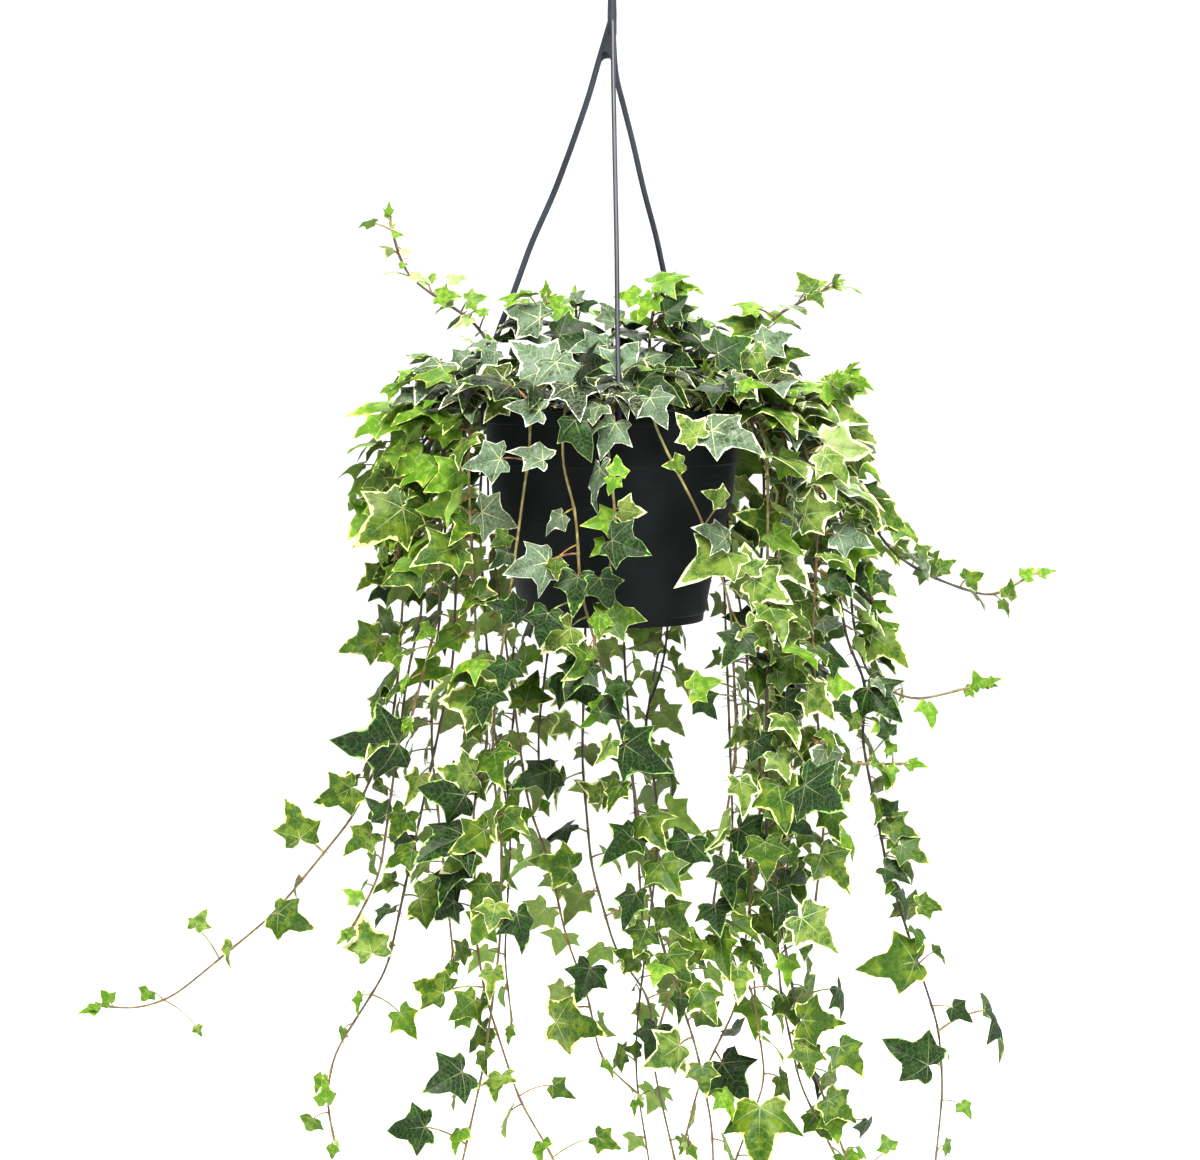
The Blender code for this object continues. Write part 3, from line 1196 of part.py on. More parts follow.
def hook_corners():
    """Centre line of the shank and of the hook, whose inner crown is the origin."""
    ring = HOOK_INNER_RADIUS + HOOK_THICKNESS_RADIUS
    centre_z = -HOOK_INNER_RADIUS
    corners = [Vector((0.0, 0.0, HUB_TOP_Z - 0.003)), Vector((0.0, 0.0, HUB_TOP_Z + 0.006))]
    corners.append(Vector((-0.55 * ring, 0.0, centre_z - 1.35 * ring)))
    corners.append(Vector((-0.93 * ring, 0.0, centre_z - 0.62 * ring)))
    for step in range(10):
        angle = math.radians(180.0 - 24.0 * step)
        corners.append(Vector((ring * math.cos(angle), 0.0, centre_z + ring * math.sin(angle))))
    return corners


def build_hanger(parts):
    """The hanger: hook, hub and straps in one moulding, with a peg and barb at each end."""
    corners = hook_corners()
    radii = [HOOK_THICKNESS_RADIUS] * len(corners)
    hanger = tube_object("hanger", corners, radii, 1, parts)
    joined = new_collection("hanger_joined", hidden=True)
    hub = prism_object("hub", (-0.0004, 0.0, HUB_BOTTOM_Z), HUB_RADIUS, HUB_TOP_Z - HUB_BOTTOM_Z, 10, joined)
    for vert in hub.data.vertices:
        if vert.co.z > 0.01:
            vert.co.x *= 0.86
            vert.co.y *= 0.86
    for name in STRAP_ROUTES:
        route = strap_corners(name)
        corners = [Vector((route[0].x * 0.3, route[0].y * 0.3, HUB_BOTTOM_Z + 0.006))] + route[1:-2]
        corners.append(route[-1] + Vector((0.0, 0.0, -0.0008)))
        tube_object("strap_" + name, corners, [STRAP_RADIUS] * len(corners), 1, joined)
        angle = math.atan2(route[-1].y, route[-1].x)
        outward = Vector((math.cos(angle), math.sin(angle), 0.0))
        length = STRAP_RIM_RADIUS + 0.0012 - PEG_INNER_RADIUS
        centre = outward * (PEG_INNER_RADIUS + length / 2.0) + Vector((0.0, 0.0, RIM_Z - PEG_DEPTH))
        box_object("peg_" + name, centre, (length, PEG_WIDTH, PEG_THICKNESS), angle, joined)
        centre = outward * (PEG_INNER_RADIUS + BARB_THICKNESS / 2.0)
        centre.z = RIM_Z - PEG_DEPTH - PEG_THICKNESS / 2.0 + BARB_HEIGHT / 2.0 - 0.0002
        box_object("barb_" + name, centre, (BARB_THICKNESS, PEG_WIDTH - 0.0006, BARB_HEIGHT), angle, joined)
    apply_boolean(hanger, joined, "UNION")
    return hanger


def build_vine(parts, vine, section):
    """One stem with all its leaves, joined to one solid."""
    name = "vine_" + vine.name
    stem = tube_object(name, vine.corners, vine.radii, 0, parts, section)
    joined = new_collection(name + "_leaves", hidden=True)
    for index, leaf in enumerate(vine.leaves):
        verts, faces = leaf.shape(0.0)
        mesh_object("leaf_%d" % index, verts, faces, joined)
    if vine.leaves:
        apply_boolean(stem, joined, "UNION")
    else:
        bpy.data.collections.remove(joined)
    return stem


def shade_round(item, degrees):
    item.data.shade_smooth()
    item.data.set_sharp_from_angle(angle=math.radians(degrees))


def paint(item, material):
    item.data.materials.clear()
    item.data.materials.append(material)


def main():
    clear_scene()
    parts = new_collection("ivy_hanging_basket")
    guides = new_collection("guides", hidden=True)
    black_plastic = make_material("black_plastic", (0.012, 0.015, 0.017), 0.5)
    slate_plastic = make_material("slate_plastic", (0.035, 0.04, 0.05), 0.45)
    peat = make_material("peat", (0.03, 0.018, 0.01), 0.95)
    ivy_green = make_material("ivy_green", (0.07, 0.17, 0.03), 0.5)
    vines = grow_ivy()
    pot = build_pot(parts)
    shade_round(pot, 35.0)
    paint(pot, black_plastic)
    hanger = build_hanger(parts)
    shade_round(hanger, 40.0)
    paint(hanger, slate_plastic)
    paint(build_soil(parts, vines), peat)
    section = stem_section(guides)
    for vine in vines:
        paint(build_vine(parts, vine, section), ivy_green)


if __name__ == "__main__":
    main()
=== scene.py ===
"""Looks of the ivy hanging basket: finer pot, hanger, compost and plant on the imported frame.

Metres, +Z up. The origin is where the hook bears on what holds it, and the front faces -Y.
"""
import functools
import itertools
import json
import math
import random

import bmesh
import bpy
import numpy as np
from bpy.props import FloatProperty, FloatVectorProperty, IntProperty, PointerProperty
from mathutils import Matrix, Vector, noise
from mathutils.bvhtree import BVHTree

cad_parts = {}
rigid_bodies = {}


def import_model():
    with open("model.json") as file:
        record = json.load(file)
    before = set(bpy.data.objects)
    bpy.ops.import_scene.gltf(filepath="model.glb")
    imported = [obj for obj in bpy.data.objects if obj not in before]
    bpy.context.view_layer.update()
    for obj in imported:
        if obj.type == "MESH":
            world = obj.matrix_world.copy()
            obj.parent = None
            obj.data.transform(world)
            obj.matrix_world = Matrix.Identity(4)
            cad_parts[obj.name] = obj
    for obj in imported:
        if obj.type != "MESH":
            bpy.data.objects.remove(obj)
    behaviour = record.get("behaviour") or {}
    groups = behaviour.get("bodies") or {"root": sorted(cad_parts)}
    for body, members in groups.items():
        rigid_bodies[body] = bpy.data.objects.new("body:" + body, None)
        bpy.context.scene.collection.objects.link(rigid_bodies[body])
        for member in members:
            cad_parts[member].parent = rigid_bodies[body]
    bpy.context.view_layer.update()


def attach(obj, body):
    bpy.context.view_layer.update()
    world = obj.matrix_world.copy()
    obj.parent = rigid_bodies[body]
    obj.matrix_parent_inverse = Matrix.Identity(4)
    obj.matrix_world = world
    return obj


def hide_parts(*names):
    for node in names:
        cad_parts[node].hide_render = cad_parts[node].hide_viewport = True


bl_info = {
    "name": "Ivy hanging basket",
    "version": (1, 0, 0),
    "blender": (4, 5, 0),
    "location": "View3D > Sidebar > Ivy basket",
    "description": "Builds the visible pieces of a hanging basket of trailing ivy",
    "category": "Object",
}

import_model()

MM = 0.001

# The view of the photograph, in which the routes of the stems and the leaves are read
PHOTO_CENTRE_X = 600.0
PHOTO_CENTRE_Y = 580.0
POT_AXIS_X = 612.5
METRES_PER_PIXEL = 0.675 * MM
VIEW_DISTANCE = 2.1
VIEW_PITCH = math.radians(5.0)
VIEW_TARGET_Z = -0.4565
FOCAL_PIXELS = VIEW_DISTANCE / METRES_PER_PIXEL
VIEW_FORWARD = Vector((0.0, math.cos(VIEW_PITCH), -math.sin(VIEW_PITCH)))
VIEW_UP = Vector((0.0, math.sin(VIEW_PITCH), math.cos(VIEW_PITCH)))
VIEW_TARGET = Vector(((PHOTO_CENTRE_X - POT_AXIS_X) * METRES_PER_PIXEL, 0.0, VIEW_TARGET_Z))
VIEW_POINT = VIEW_TARGET - VIEW_FORWARD * VIEW_DISTANCE

# Pot: height of its rim, then (depth below the rim, radius) rows of its wall in mm, and its drains
RIM_Z = -0.3403
POT_HEIGHT = 143.0 * MM
POT_OUTER = [
    (0.0, 86.2), (0.9, 87.0), (9.5, 87.0), (9.5, 85.2), (36.0, 84.2), (36.8, 83.3), (58.0, 80.9),
    (75.0, 77.2), (94.0, 72.6), (110.0, 67.8), (137.0, 62.6), (137.6, 61.8), (143.0, 61.3),
]
POT_INNER = [
    (140.8, 59.4), (110.0, 65.8), (94.0, 70.6), (75.0, 75.2), (58.0, 78.9), (36.8, 81.8),
    (0.0, 83.6),
]
DRAIN_RADIUS = 4.0 * MM
DRAIN_RING = 36.0 * MM
DRAIN_COUNT = 4

# Level of the soil
SOIL_DEPTH = 18.0 * MM
SOIL_Z = RIM_Z - SOIL_DEPTH

# Hanger: hook, hub, three straps, and the pegs that clip through slots under the rim
HOOK_INNER_RADIUS = 11.0 * MM
HOOK_THICKNESS_RADIUS = 2.2 * MM
HUB_RADIUS = 3.1 * MM
HUB_TOP_Z = -0.052
HUB_BOTTOM_Z = -0.094
STRAP_RADIUS = 1.75 * MM
STRAP_RIM_RADIUS = 89.5 * MM
STRAP_STEP = 26.0 * MM
PEG_DEPTH = 12.2 * MM
PEG_WIDTH = 5.2 * MM
PEG_THICKNESS = 2.6 * MM
PEG_SLOT_GAP = 0.35 * MM
PEG_INNER_RADIUS = 80.3 * MM
BARB_THICKNESS = 1.8 * MM
BARB_HEIGHT = 4.2 * MM

# Routes of the straps: x and y in pixels and the way to the back in mm, then where they end
STRAP_ROUTES = {
    "front": [(612.6, 38, -6), (614, 115, -29), (615.5, 191, -46), (616.8, 258, -61),
              (617.5, 335, -76)],
    "left": [(605, 38, 0.5), (588.7, 96, 4), (574.4, 138, 6), (553, 195, 10), (533, 240, 13),
             (512, 297, 16), (494, 345, 18)],
    "right": [(613, 34, 1), (615.5, 71, 6), (632.7, 142, 19), (644, 191, 29), (655.7, 235, 37),
              (662.4, 266, 44), (680, 345, 61)],
}
STRAP_END_X = {"front": 618.5, "left": 483.0, "right": 694.0}
STRAP_BEHIND = {"front": False, "left": True, "right": True}

# Stems: half thickness of the plain solids at the root and at the tip, and rounding of the bends
STEM_ROOT_RADIUS = 2.1 * MM
STEM_TIP_RADIUS = 1.3 * MM
BEND_PASSES = 5

# Leaves of the layout: outlines of the right half as parts of the length, with each point's sag
FIVE_LOBES = [(0.38, -0.18, -0.05), (0.44, 0.04, 0.01), (0.61, 0.3, -0.1), (0.27, 0.47, 0.0),
              (0.0, 1.0, -0.14)]
THREE_LOBES = [(0.33, -0.13, -0.04), (0.56, 0.27, -0.08), (0.25, 0.46, 0.0), (0.0, 1.0, -0.12)]
SMALL_LEAF = 23.0 * MM
PETIOLE_RADIUS = 0.64 * MM
PETIOLE_LIMIT = 62.0 * MM
LEAF_GAP = 0.7 * MM
ROOT_SPACING = 4.5 * MM
CORNER_GAP = 1.2 * MM
FOLDED_WIDTH = 0.55
STALK_FACES = 7

# Sides of the plain bodies that leaves are kept clear of, and how much thicker stems and straps are
GUARD_SIDES = 48
STRAP_GUARD_SIDES = 6
TEST_SIDES = 4
CORNER_STRETCH = 1.15

# A leaf read from the photograph is tried at these sizes, depths behind its stem and slides along
# it in mm, until one is clear, between gaps at the stem's start and end. Its stem is looked for at
# the sight depths in mm, and before the pot where the leaf is seen in the pot's window of pixels.
MARK_SIZES = (1.0, 0.88, 0.76)
MARK_DEPTHS = (-12, -8, -17, -23, -5, -30, -38, 10, 16, -48, 24)
MARK_SLIDES = (0.0, 5.0, -5.0, 10.0, -10.0, 15.0, -15.0)
STEM_START_GAP = 0.004
STEM_END_GAP = 0.0025
SIGHT_DEPTHS = (-90, -60, -30, 0, 30, 60, 90)
POT_WINDOW = (490, 405, 735, 640)

# Leaves by rule: the place before the pot that stays bare, how near a leaf that was read keeps
# them off, the most on a stem by the first word of its name, and their spacing along it, which is
# close down to a depth under the rim and then grows
BARE_POT_Y = -0.05
BARE_POT_X = 0.088
TAKEN_GAP = 0.009
RULE_LIMITS = {"crown": 1, "rear": 3, "front": 2, "back": 3}
SIDE_LIMIT = 5
CLOSE_DEPTH = 0.17
CLOSE_SPACING = 0.027
WIDE_SPACING = 0.045
WIDE_GROWTH = 0.05
WIDE_RUN = 0.2
LEAST_SIZE = 0.017
SIZE_GROWTH = 0.014

# Further leaves, which are only here: their spacing outside the areas of the photograph, in metres
# but for the last, where the low ones are and how large, and the share that is folded
SHOOT_SPACING = 0.018
RUNNER_SPACING = 0.07
CROWN_SPACING = 0.0048
BACK_SPACING = 0.016
LOW_BACK_SPACING = 0.024
OTHER_SPACING = 30.0
RUNNER_X = 0.16
LOW_DEPTH = 0.25
LOW_LEAF_SIZE = 1.08
HIGH_LEAF_SIZE = 0.8
FOLDED_SHARE = 0.22

# Stems in mm: x and y of the root, which on every stem has two corners in the compost at the same
# depths under the hook, then x, y and depth of the corners from there to the tip
STEM_FOOT_DEPTHS = (371.9, 352.3)
STEM_CORNERS = """
front_left: -36.2 -39.6, -50.3 -55 323.7, -52.2 -67.8 330.5, -54.3 -82 337.9, -53 -84 358.5,
-77.8 -52 531.5, -80 -48 575.4, -73.6 -47 625.9, -75.2 -45 697.1, -86.2 -43 779.1, -106.2 -38 869.5;
left_front: -56.5 -25.8, -70.4 -32.2 327.3, -77.7 -35.5 328.7, -87.5 -40 330.7, -93.6 -52 346.7,
-94.9 -55 379.3, -90 -42 499.4, -82.5 -34 560.7, -93.6 -28 605.4, -91.9 -28 697.2, -85.9 -28 734.8,
-63.2 -28 806.8, -38.2 -28 849.6, -32.2 -28 869;
front_mid: -17.9 -43.4, -24.7 -60 323.6, -30 -79.6 333.3, -32.2 -88 340.3, -32.9 -90 374.3,
-23.9 -86 404.9, -21.4 -80 456, 11.3 -68 572.5, 28.7 -58 680.9, 56.3 -50 767.1, 66.7 -46 819.3,
68.3 -42 864.9;
front_centre: 4.25 -47.1, 5.81 -64.94 320.26, -0.3 -84.66 331.97, -1.2 -91.91 335.64,
-4.59 -98 351.46, 2.52 -92 416.11, -12.33 -84 491.5;
front_right: 12.8 -43.6, 17.6 -60 326.9, 23.6 -82.8 333, 25 -88.8 345.3, 37.3 -87 371.2,
57.1 -76 408.8, 77.6 -58 467.9, 82.2 -50 561.8, 65 -44 683.7, 70.4 -42 699.7, 93.5 -38 725.7,
103.3 -36 791.1, 78 -34 860.3;
right_long: 64.5 -14.1, 81 -14 327, 84.1 -16.6 327.9, 98 -20 331.2, 121.2 -22 347.8,
139.9 -24 387.6, 156.7 -15 495.6, 172 -12 527.1, 167.5 -12 560.3, 186.4 -12 653.8, 222 -12 761.1,
225.1 -12 804, 218.3 -12 877.1;
right_runner: 65.5 8, 82.9 5.1 326.6, 85 9 327.7, 106.3 10 335.4, 134.4 25 356.3, 165.9 32 402.3,
190.5 28 440.4, 216.8 24 456.5, 258.6 18 471.1, 284.3 13 454.2;
right_spur: 61.4 16.6, 76.4 19 327.3, 82.8 20.1 330.7, 127.6 24 363, 153.4 20 403.6, 161.3 14 444.1,
162.5 8 484.4, 173.1 2 524.7, 203.2 -4 538.9, 247.7 -4 527.4;
top_right: 47.9 6.6, 72.5 10 325.3, 89.2 8 311.8, 105.6 3 280.3, 145.5 0 259.6;
top_left: -53.53 23.53, -76.69 27.24 318.64, -90.09 32 285.12, -136.44 36 255.29, -143.2 36 246.48,
-151.19 36 215.36;
left_main: -65.8 4.8, -79.5 0.3 326.8, -85.2 0.9 329.6, -116 -0.2 348.5, -126.2 0 375.5,
-131.2 0 434.8, -128 0 476.8, -137.7 0 514.2, -158.2 0 658.1, -176.1 0 692.6;
left_runner: -61.3 12.7, -78.5 15.9 327.3, -83.4 13 328.6, -100.2 19.2 332.3, -124.1 25 352.9,
-138 28 390.5, -146.9 26 527.6, -152.3 22 565, -176.6 12 619.5, -231.1 5 685.9, -300.8 0 743.1,
-326.2 0 751.4, -347.3 0 748.6;
left_long: -62.33 21.65, -76.85 24.27 328.12, -80.78 26.84 328.43, -91.53 30 330.59,
-102.75 35 356.66, -109.33 30 517.68, -154.64 12 726.27, -191.8 8 784.65, -196.86 8 817.54,
-191.55 8 842.78;
left_mid: -63.3 -18.7, -77.6 -16.9 327.8, -84.1 -15.1 332, -106.5 -26.6 344, -114.1 -30.3 367.4,
-115.2 -26 474.3, -134.6 -20 545.7;
left_bright_low: -61.3 -3, -76.3 -4.5 327.6, -83.6 -6.7 335.1, -95.7 -9.5 341.5, -115.9 -28.5 351,
-130.8 -34 367.2, -140.9 -34 393.7, -142.8 -30 440.5;
left_bright_high: -56.8 4.8, -72.8 6.4 327.6, -85 6.9 333.9, -139.8 5.1 352.2, -151.4 6 372.4,
-158.6 8 416.5;
right_brown: 55.1 -29.3, 69.5 -34.1 327.3, 77 -36.6 330.1, 87.1 -40 334, 99.6 -55 353.1,
101.5 -58 385.7, 102.1 -44 626.4, 126.2 -42 758.8, 163.8 -42 861.5;
right_light: 57.8 -8.1, 74.6 -8.5 327.4, 84.9 -9 331.8, 95.2 -10 336.2, 118.1 -20 361.2,
108 -28 440.7, 103.7 -28 513, 117.2 -28 543.3, 136.8 -28 568.2, 152.2 -28 577.7, 193.7 -28 577.7;
right_mid: 56.6 9, 83.1 14.8 332.4, 85.3 10.3 333.5, 109.8 10 345.6, 123.3 8 382.6, 125.6 2 511.1,
120.4 -2 592.5, 110.5 -4 660.8, 114.2 -4 736.7, 128.2 -4 802.6, 162.9 -4 872.4;
right_dark: 52.5 23.1, 69.5 30.1 333.8, 77.6 31.1 335.5, 94 33.8 343.7, 104.4 34.9 384,
100 32 500.6, 101.4 22 623.9, 86.5 14 749.7, 60.5 14 803.6, 50.2 14 845.8;
right_outer: 60.6 0.4, 80.8 -2 327.3, 85.1 -2.5 329.2, 132.2 -8 351.6, 149 -8 371.7, 163.1 -8 459.2,
173.2 -8 469.3;
right_front: 58.9 -21.2, 71.3 -28.6 327.1, 80.2 -28.7 330.2, 123 -45.3 353.5, 132.8 -50 386.2,
135 -50 419.1, 131.9 -44 492.5, 141.8 -36 614.3, 135.5 -36 671.8;
right_shoot: 52.2 -15.1, 78.3 -19.7 328.4, 82.4 -22.3 330.6, 97.7 -29.2 339.7, 113.8 -33.9 342.1,
151 -38 319.5;
back_mid_left: -6.65 51.82, -11.91 70 337.21, -13.69 85.23 333.3, -15.47 98.53 359.12,
-16.9 98 422.59, -21.06 70 589.31, -14.74 60 662, 2.75 52 722.81, 26.46 46 752.71, 29.26 42 803.59,
44.77 42 871.28;
back_mid: 19.4 55.4, 26.2 74.8 337.9, 27.4 80.9 334.1, 41.2 98.9 359.9, 42.5 97.8 422.6,
38.8 88 506.6, 34.5 84 531, 22.5 78 558.6, 31.6 70 617.6, 31.6 66 659.5, 17.5 56 771.3,
16.8 54 813.7, 28.1 50 884.3;
left_back: -50.06 37.25, -61.31 44.65 327.25, -68.37 50.82 330.76, -75.61 54.58 332.84,
-86.99 74.41 356.98, -86.21 75.87 420.99, -58.52 50 617.97, -43.83 42 655.24, -32 34 708.5,
-16.75 30 747.72, -8.44 28 793.05, 17.24 28 816.36;
back_diagonal: 39.5 44.1, 53.4 60.1 336.2, 55.3 63.3 334.5, 72.1 85.1 358.9, 77 85 421.7,
84.8 65 638.1, 77 58 707.7, 41.9 52 745.5, 33.5 48 773;
crown_left_front: -25.3 -36.5, -34.7 -50 340.2, -41.2 -50 310.8;
crown_front: 5.8 -28.8, 8 -40 337.3, 4.6 -62 315.1;
crown_top: 18.1 -7.2, 25 -10 334.9, 24.1 -18 291.5, 29.3 -22 261.7;
crown_middle: -1.2 7.4, -1.7 10 335.4, 0.3 8 283;
crown_left_top: -33 0, -45.4 0 335.2, -50.5 -10 288.2, -45.1 -10 271.6;
crown_back: -16.1 18.3, -22 25 335.9, -24.7 24 274.9;
crown_right_back: 33.4 14.6, 45.8 20 335.7, 45.6 16 280.3;
crown_right_front: 42.4 -14.6, 58.1 -20 337.9, 61.5 -35 317.6;
crown_left: -49.1 -10.9, -68.1 -16.4 333.9, -79.1 -25.3 301.2;
crown_far_left: -58.1 -11.4, -72.7 -10 327.1, -90.2 -9.5 329.1, -98.6 -12 318, -111.7 -15 316.1,
-138.3 -18 334.6;
crown_right_low: 41.3 -36.1, 57.1 -50 333.7, 60.7 -60.4 330.3, 66 -76 325.2, 65.9 -97 333.6,
63.2 -100 343.7;
rear_a: 45.3 17.7, 65.2 26.2 325.4, 81.7 33 323, 94.3 39.1 336.4, 109.7 42.9 387.4,
115.8 47.1 434.6, 116.2 53 481.7, 103.6 58.8 623.2, 95.5 67.3 670.3;
rear_b: 33.6 37.3, 47.1 51.9 325.7, 61.3 62.8 324.3, 68.4 74.7 336.7, 79.3 82.8 383.3,
80.9 91.1 426.3, 95.2 88.9 512.3, 96.2 88.5 555.3, 96.6 81.8 598.3, 94.6 82.6 641.3,
101.5 62.7 770.3;
rear_c: 17.1 46.7, 24.1 65.9 325.6, 30.9 82.6 323.3, 33.7 96.2 336.5, 40.2 110.6 381.8,
40.6 119.9 423.6, 35.5 121.5 507, 27.8 121.1 548.6, 21.1 112.3 590.3;
rear_d: 2.3 50.9, 2.4 70 326.3, 3 85.4 331.8, 3.5 100.9 337.3, 1.8 117.4 383.6, 11.4 128 470.3,
8.3 126.8 513.6, 17.5 124.6 643.6, 23.3 114.7 730.3;
rear_e: -14.7 47.7, -16.9 67.9 326.3, -20.7 83 331.8, -24.4 98 337.3, -30.4 116.2 387,
-39.2 121.6 433.6, -41.1 121.5 480.3, -52.6 113.1 573.6, -51.7 106.9 620.3;
rear_f: -26.76 42.83, -37.09 59.36 326.3, -45.31 72.51 331.8, -53.52 85.65 337.3,
-63.01 97.46 384.3, -64.29 104.33 472.3, -70.67 102.37 516.3, -69.12 105.08 560.3,
-75.3 102.62 604.3, -71.94 100.43 648.3, -76.6 94.53 736.3, -71.14 88.71 780.3;
rear_g: -38.76 32.53, -53.27 45.39 326.33, -65.32 55.16 331.82, -74.08 64.69 338.43,
-91.27 71.78 383.67, -93.02 86.48 426.01, -85.98 93.54 554.59, -71.84 90.92 640.3;
rear_h: -46.1 18.45, -63.77 29.45 326.07, -78.61 33.91 331.67, -93.65 37.84 337.3,
-112.7 42.94 387.8, -118.59 46.81 482.8, -124.35 40.2 530.3, -124.68 37.14 577.8,
-109.7 26.48 720.3"""

# Leaves read from the photograph: kind, then the pixels of the stalk's end and of the tip
# Kinds: g grey green, d dark green, m middle green, v cream edged, l lime, p pale
# A second letter: n is seen from its edge, f is folded along its rib
LEAF_MARKS = """
crown: g 548 370 508 334, g 556 362 572 400, g 577 380 600 352, g 617 373 640 337,
g 645 358 668 380, d 638 386 682 395, g 650 398 668 428, v 697 437 676 412, g 722 385 757 405,
g 712 430 765 442, g 783 420 838 433, g 795 455 841 483, g 738 483 770 492, d 718 353 756 334,
l 757 309 730 299, m 755 330 717 313, g 765 345 795 330, m 772 357 810 349, l 808 293 828 278,
m 812 288 797 268, m 812 294 825 304, l 835 287 845 281, l 655 283 690 268, l 655 290 665 283,
l 652 298 636 322, l 638 296 611 294, d 700 335 674 318, d 665 313 690 293, g 615 322 600 295,
g 540 318 502 301, l 552 303 565 294, g 575 300 585 288, d 580 307 600 299, l 565 305 527 312,
g 535 348 530 320, d 560 335 612 325, g 607 345 570 347, g 490 345 465 343, g 495 352 470 372,
g 440 365 412 398, g 468 360 440 372, m 460 378 444 393, g 415 392 392 403, v 503 400 483 420,
m 490 405 463 412, g 540 410 503 404, g 600 405 558 422, g 615 423 595 457, d 575 420 588 460,
l 815 388 781 384, l 822 392 845 396, l 834 381 850 375, v 800 400 830 412, m 830 403 852 412,
v 752 352 768 384;
pot: g 543 460 507 444, g 500 459 460 466, gn 562 515 541 533, gn 600 468 588 514,
l 618 475 618 452, l 615 478 607 495, v 620 510 648 515, l 613 520 586 524, l 605 542 592 556,
d 612 540 651 552, d 600 578 613 612, d 578 577 573 614, m 605 618 649 612, l 600 616 597 641,
v 570 628 538 652, d 548 613 537 645, g 548 562 508 568, m 555 560 556 580, g 482 512 521 527,
m 508 535 490 548, d 508 553 490 568, vf 727 553 678 582, v 746 572 745 540, v 755 580 793 602,
v 725 500 703 492, g 725 538 695 523, m 683 463 662 467;
right: m 778 525 737 510, v 800 505 767 463, v 805 515 848 505, v 828 548 800 528,
l 835 550 884 545, l 850 512 868 502, l 862 545 882 540, d 878 575 890 592, m 865 492 893 495,
m 877 508 910 530, m 918 552 934 544, m 941 569 958 559, m 966 580 988 572, m 1008 597 1016 577,
l 1024 578 1036 566, v 770 608 788 640, v 748 628 780 650, d 750 622 721 612, d 742 635 722 665,
m 872 635 912 662, d 868 688 895 717, l 980 688 972 670, l 893 752 885 737, d 890 735 880 716,
m 860 722 840 712, v 808 692 840 718, m 790 712 778 685, gn 826 750 838 803, d 805 785 850 815,
m 778 785 787 832, m 822 855 853 888, d 893 812 880 798, m 890 825 921 835, m 902 845 930 862,
d 885 868 912 880, l 893 882 885 895, m 920 905 948 908, m 915 962 857 968, d 928 1065 882 1040,
dn 992 1008 1017 1058, m 803 1020 845 1022, m 840 1047 867 1070, dn 838 988 848 1022,
v 802 918 841 950, v 800 922 810 962, m 828 1100 858 1118, m 815 1115 830 1140,
dn 868 1120 862 1145, l 890 1150 882 1133, m 765 842 768 880, m 732 885 768 903;
left: m 403 508 357 545, m 377 640 340 648, mn 394 668 368 695, d 398 744 332 743,
m 352 788 314 805, d 386 815 365 798, m 300 838 288 797, l 360 900 342 885, v 372 953 358 913,
m 412 850 380 865, d 465 835 415 850, v 470 853 438 873, m 420 898 465 910, m 443 993 407 980,
l 400 1013 420 1038, l 467 1012 448 1028, d 462 1072 425 1087, d 425 1127 382 1133,
l 326 1103 325 1080, v 485 700 433 698, m 477 597 482 571, d 517 612 485 603, d 507 663 500 694,
m 525 703 535 665, d 551 770 511 780, v 474 775 432 772, d 465 795 415 790, m 505 815 528 828,
m 571 869 530 858, d 517 914 530 951, d 590 968 577 1000, m 556 1022 610 1030, m 553 1085 575 1100,
m 597 1137 622 1150, v 679 1046 643 1068, d 657 1028 648 1060, d 722 1063 747 1098,
m 760 1107 755 1160, m 640 1050 622 1050, l 110 1003 98 990, v 195 928 207 905, v 196 1026 203 1036,
m 278 913 313 928;
middle: v 600 795 580 782, d 625 745 668 772, d 700 697 716 718, l 693 690 722 678,
d 600 712 625 684, d 567 672 600 705, d 690 840 675 880, m 715 850 705 830, m 668 955 690 985,
m 690 950 720 942, m 640 960 612 948, m 700 990 716 1015;
top_left: l 391 228 400 218, l 393 234 409 234, l 402 250 420 254, l 412 276 440 280,
l 450 280 480 272, l 400 266 412 262, v 438 296 470 292, p 468 300 496 294, m 447 304 462 290,
p 487 312 460 308, v 470 318 443 333"""

# Areas of the photograph in pixels: left, top, right and bottom. Here with the further leaves'
# spacing in mm
FURTHER_AREAS = [
    (375, 392, 525, 560, 9.5), (375, 560, 525, 760, 19.0), (375, 760, 520, 905, 17.0),
    (715, 392, 905, 560, 15.0), (715, 560, 905, 760, 14.0), (715, 760, 905, 905, 15.0),
    (520, 610, 720, 800, 15.0), (640, 900, 730, 1010, 12.0), (520, 800, 720, 905, 17.0),
]

# The same kind of areas with the kinds of leaf to draw from where none was read
COLOUR_AREAS = [
    (0, 0, 470, 395, "lllgv"), (750, 0, 1200, 340, "lgv"), (470, 0, 760, 440, "gggdddmv"),
    (0, 395, 440, 560, "llllm"), (440, 395, 530, 560, "llmmv"), (0, 560, 530, 760, "lmmmdv"),
    (0, 760, 530, 1160, "mmdvl"), (700, 340, 1200, 560, "gvvvlplg"),
    (700, 560, 1200, 760, "gvvmmld"), (700, 760, 1200, 1160, "mmmvld"),
    (530, 560, 700, 1160, "mmmvdl"),
]

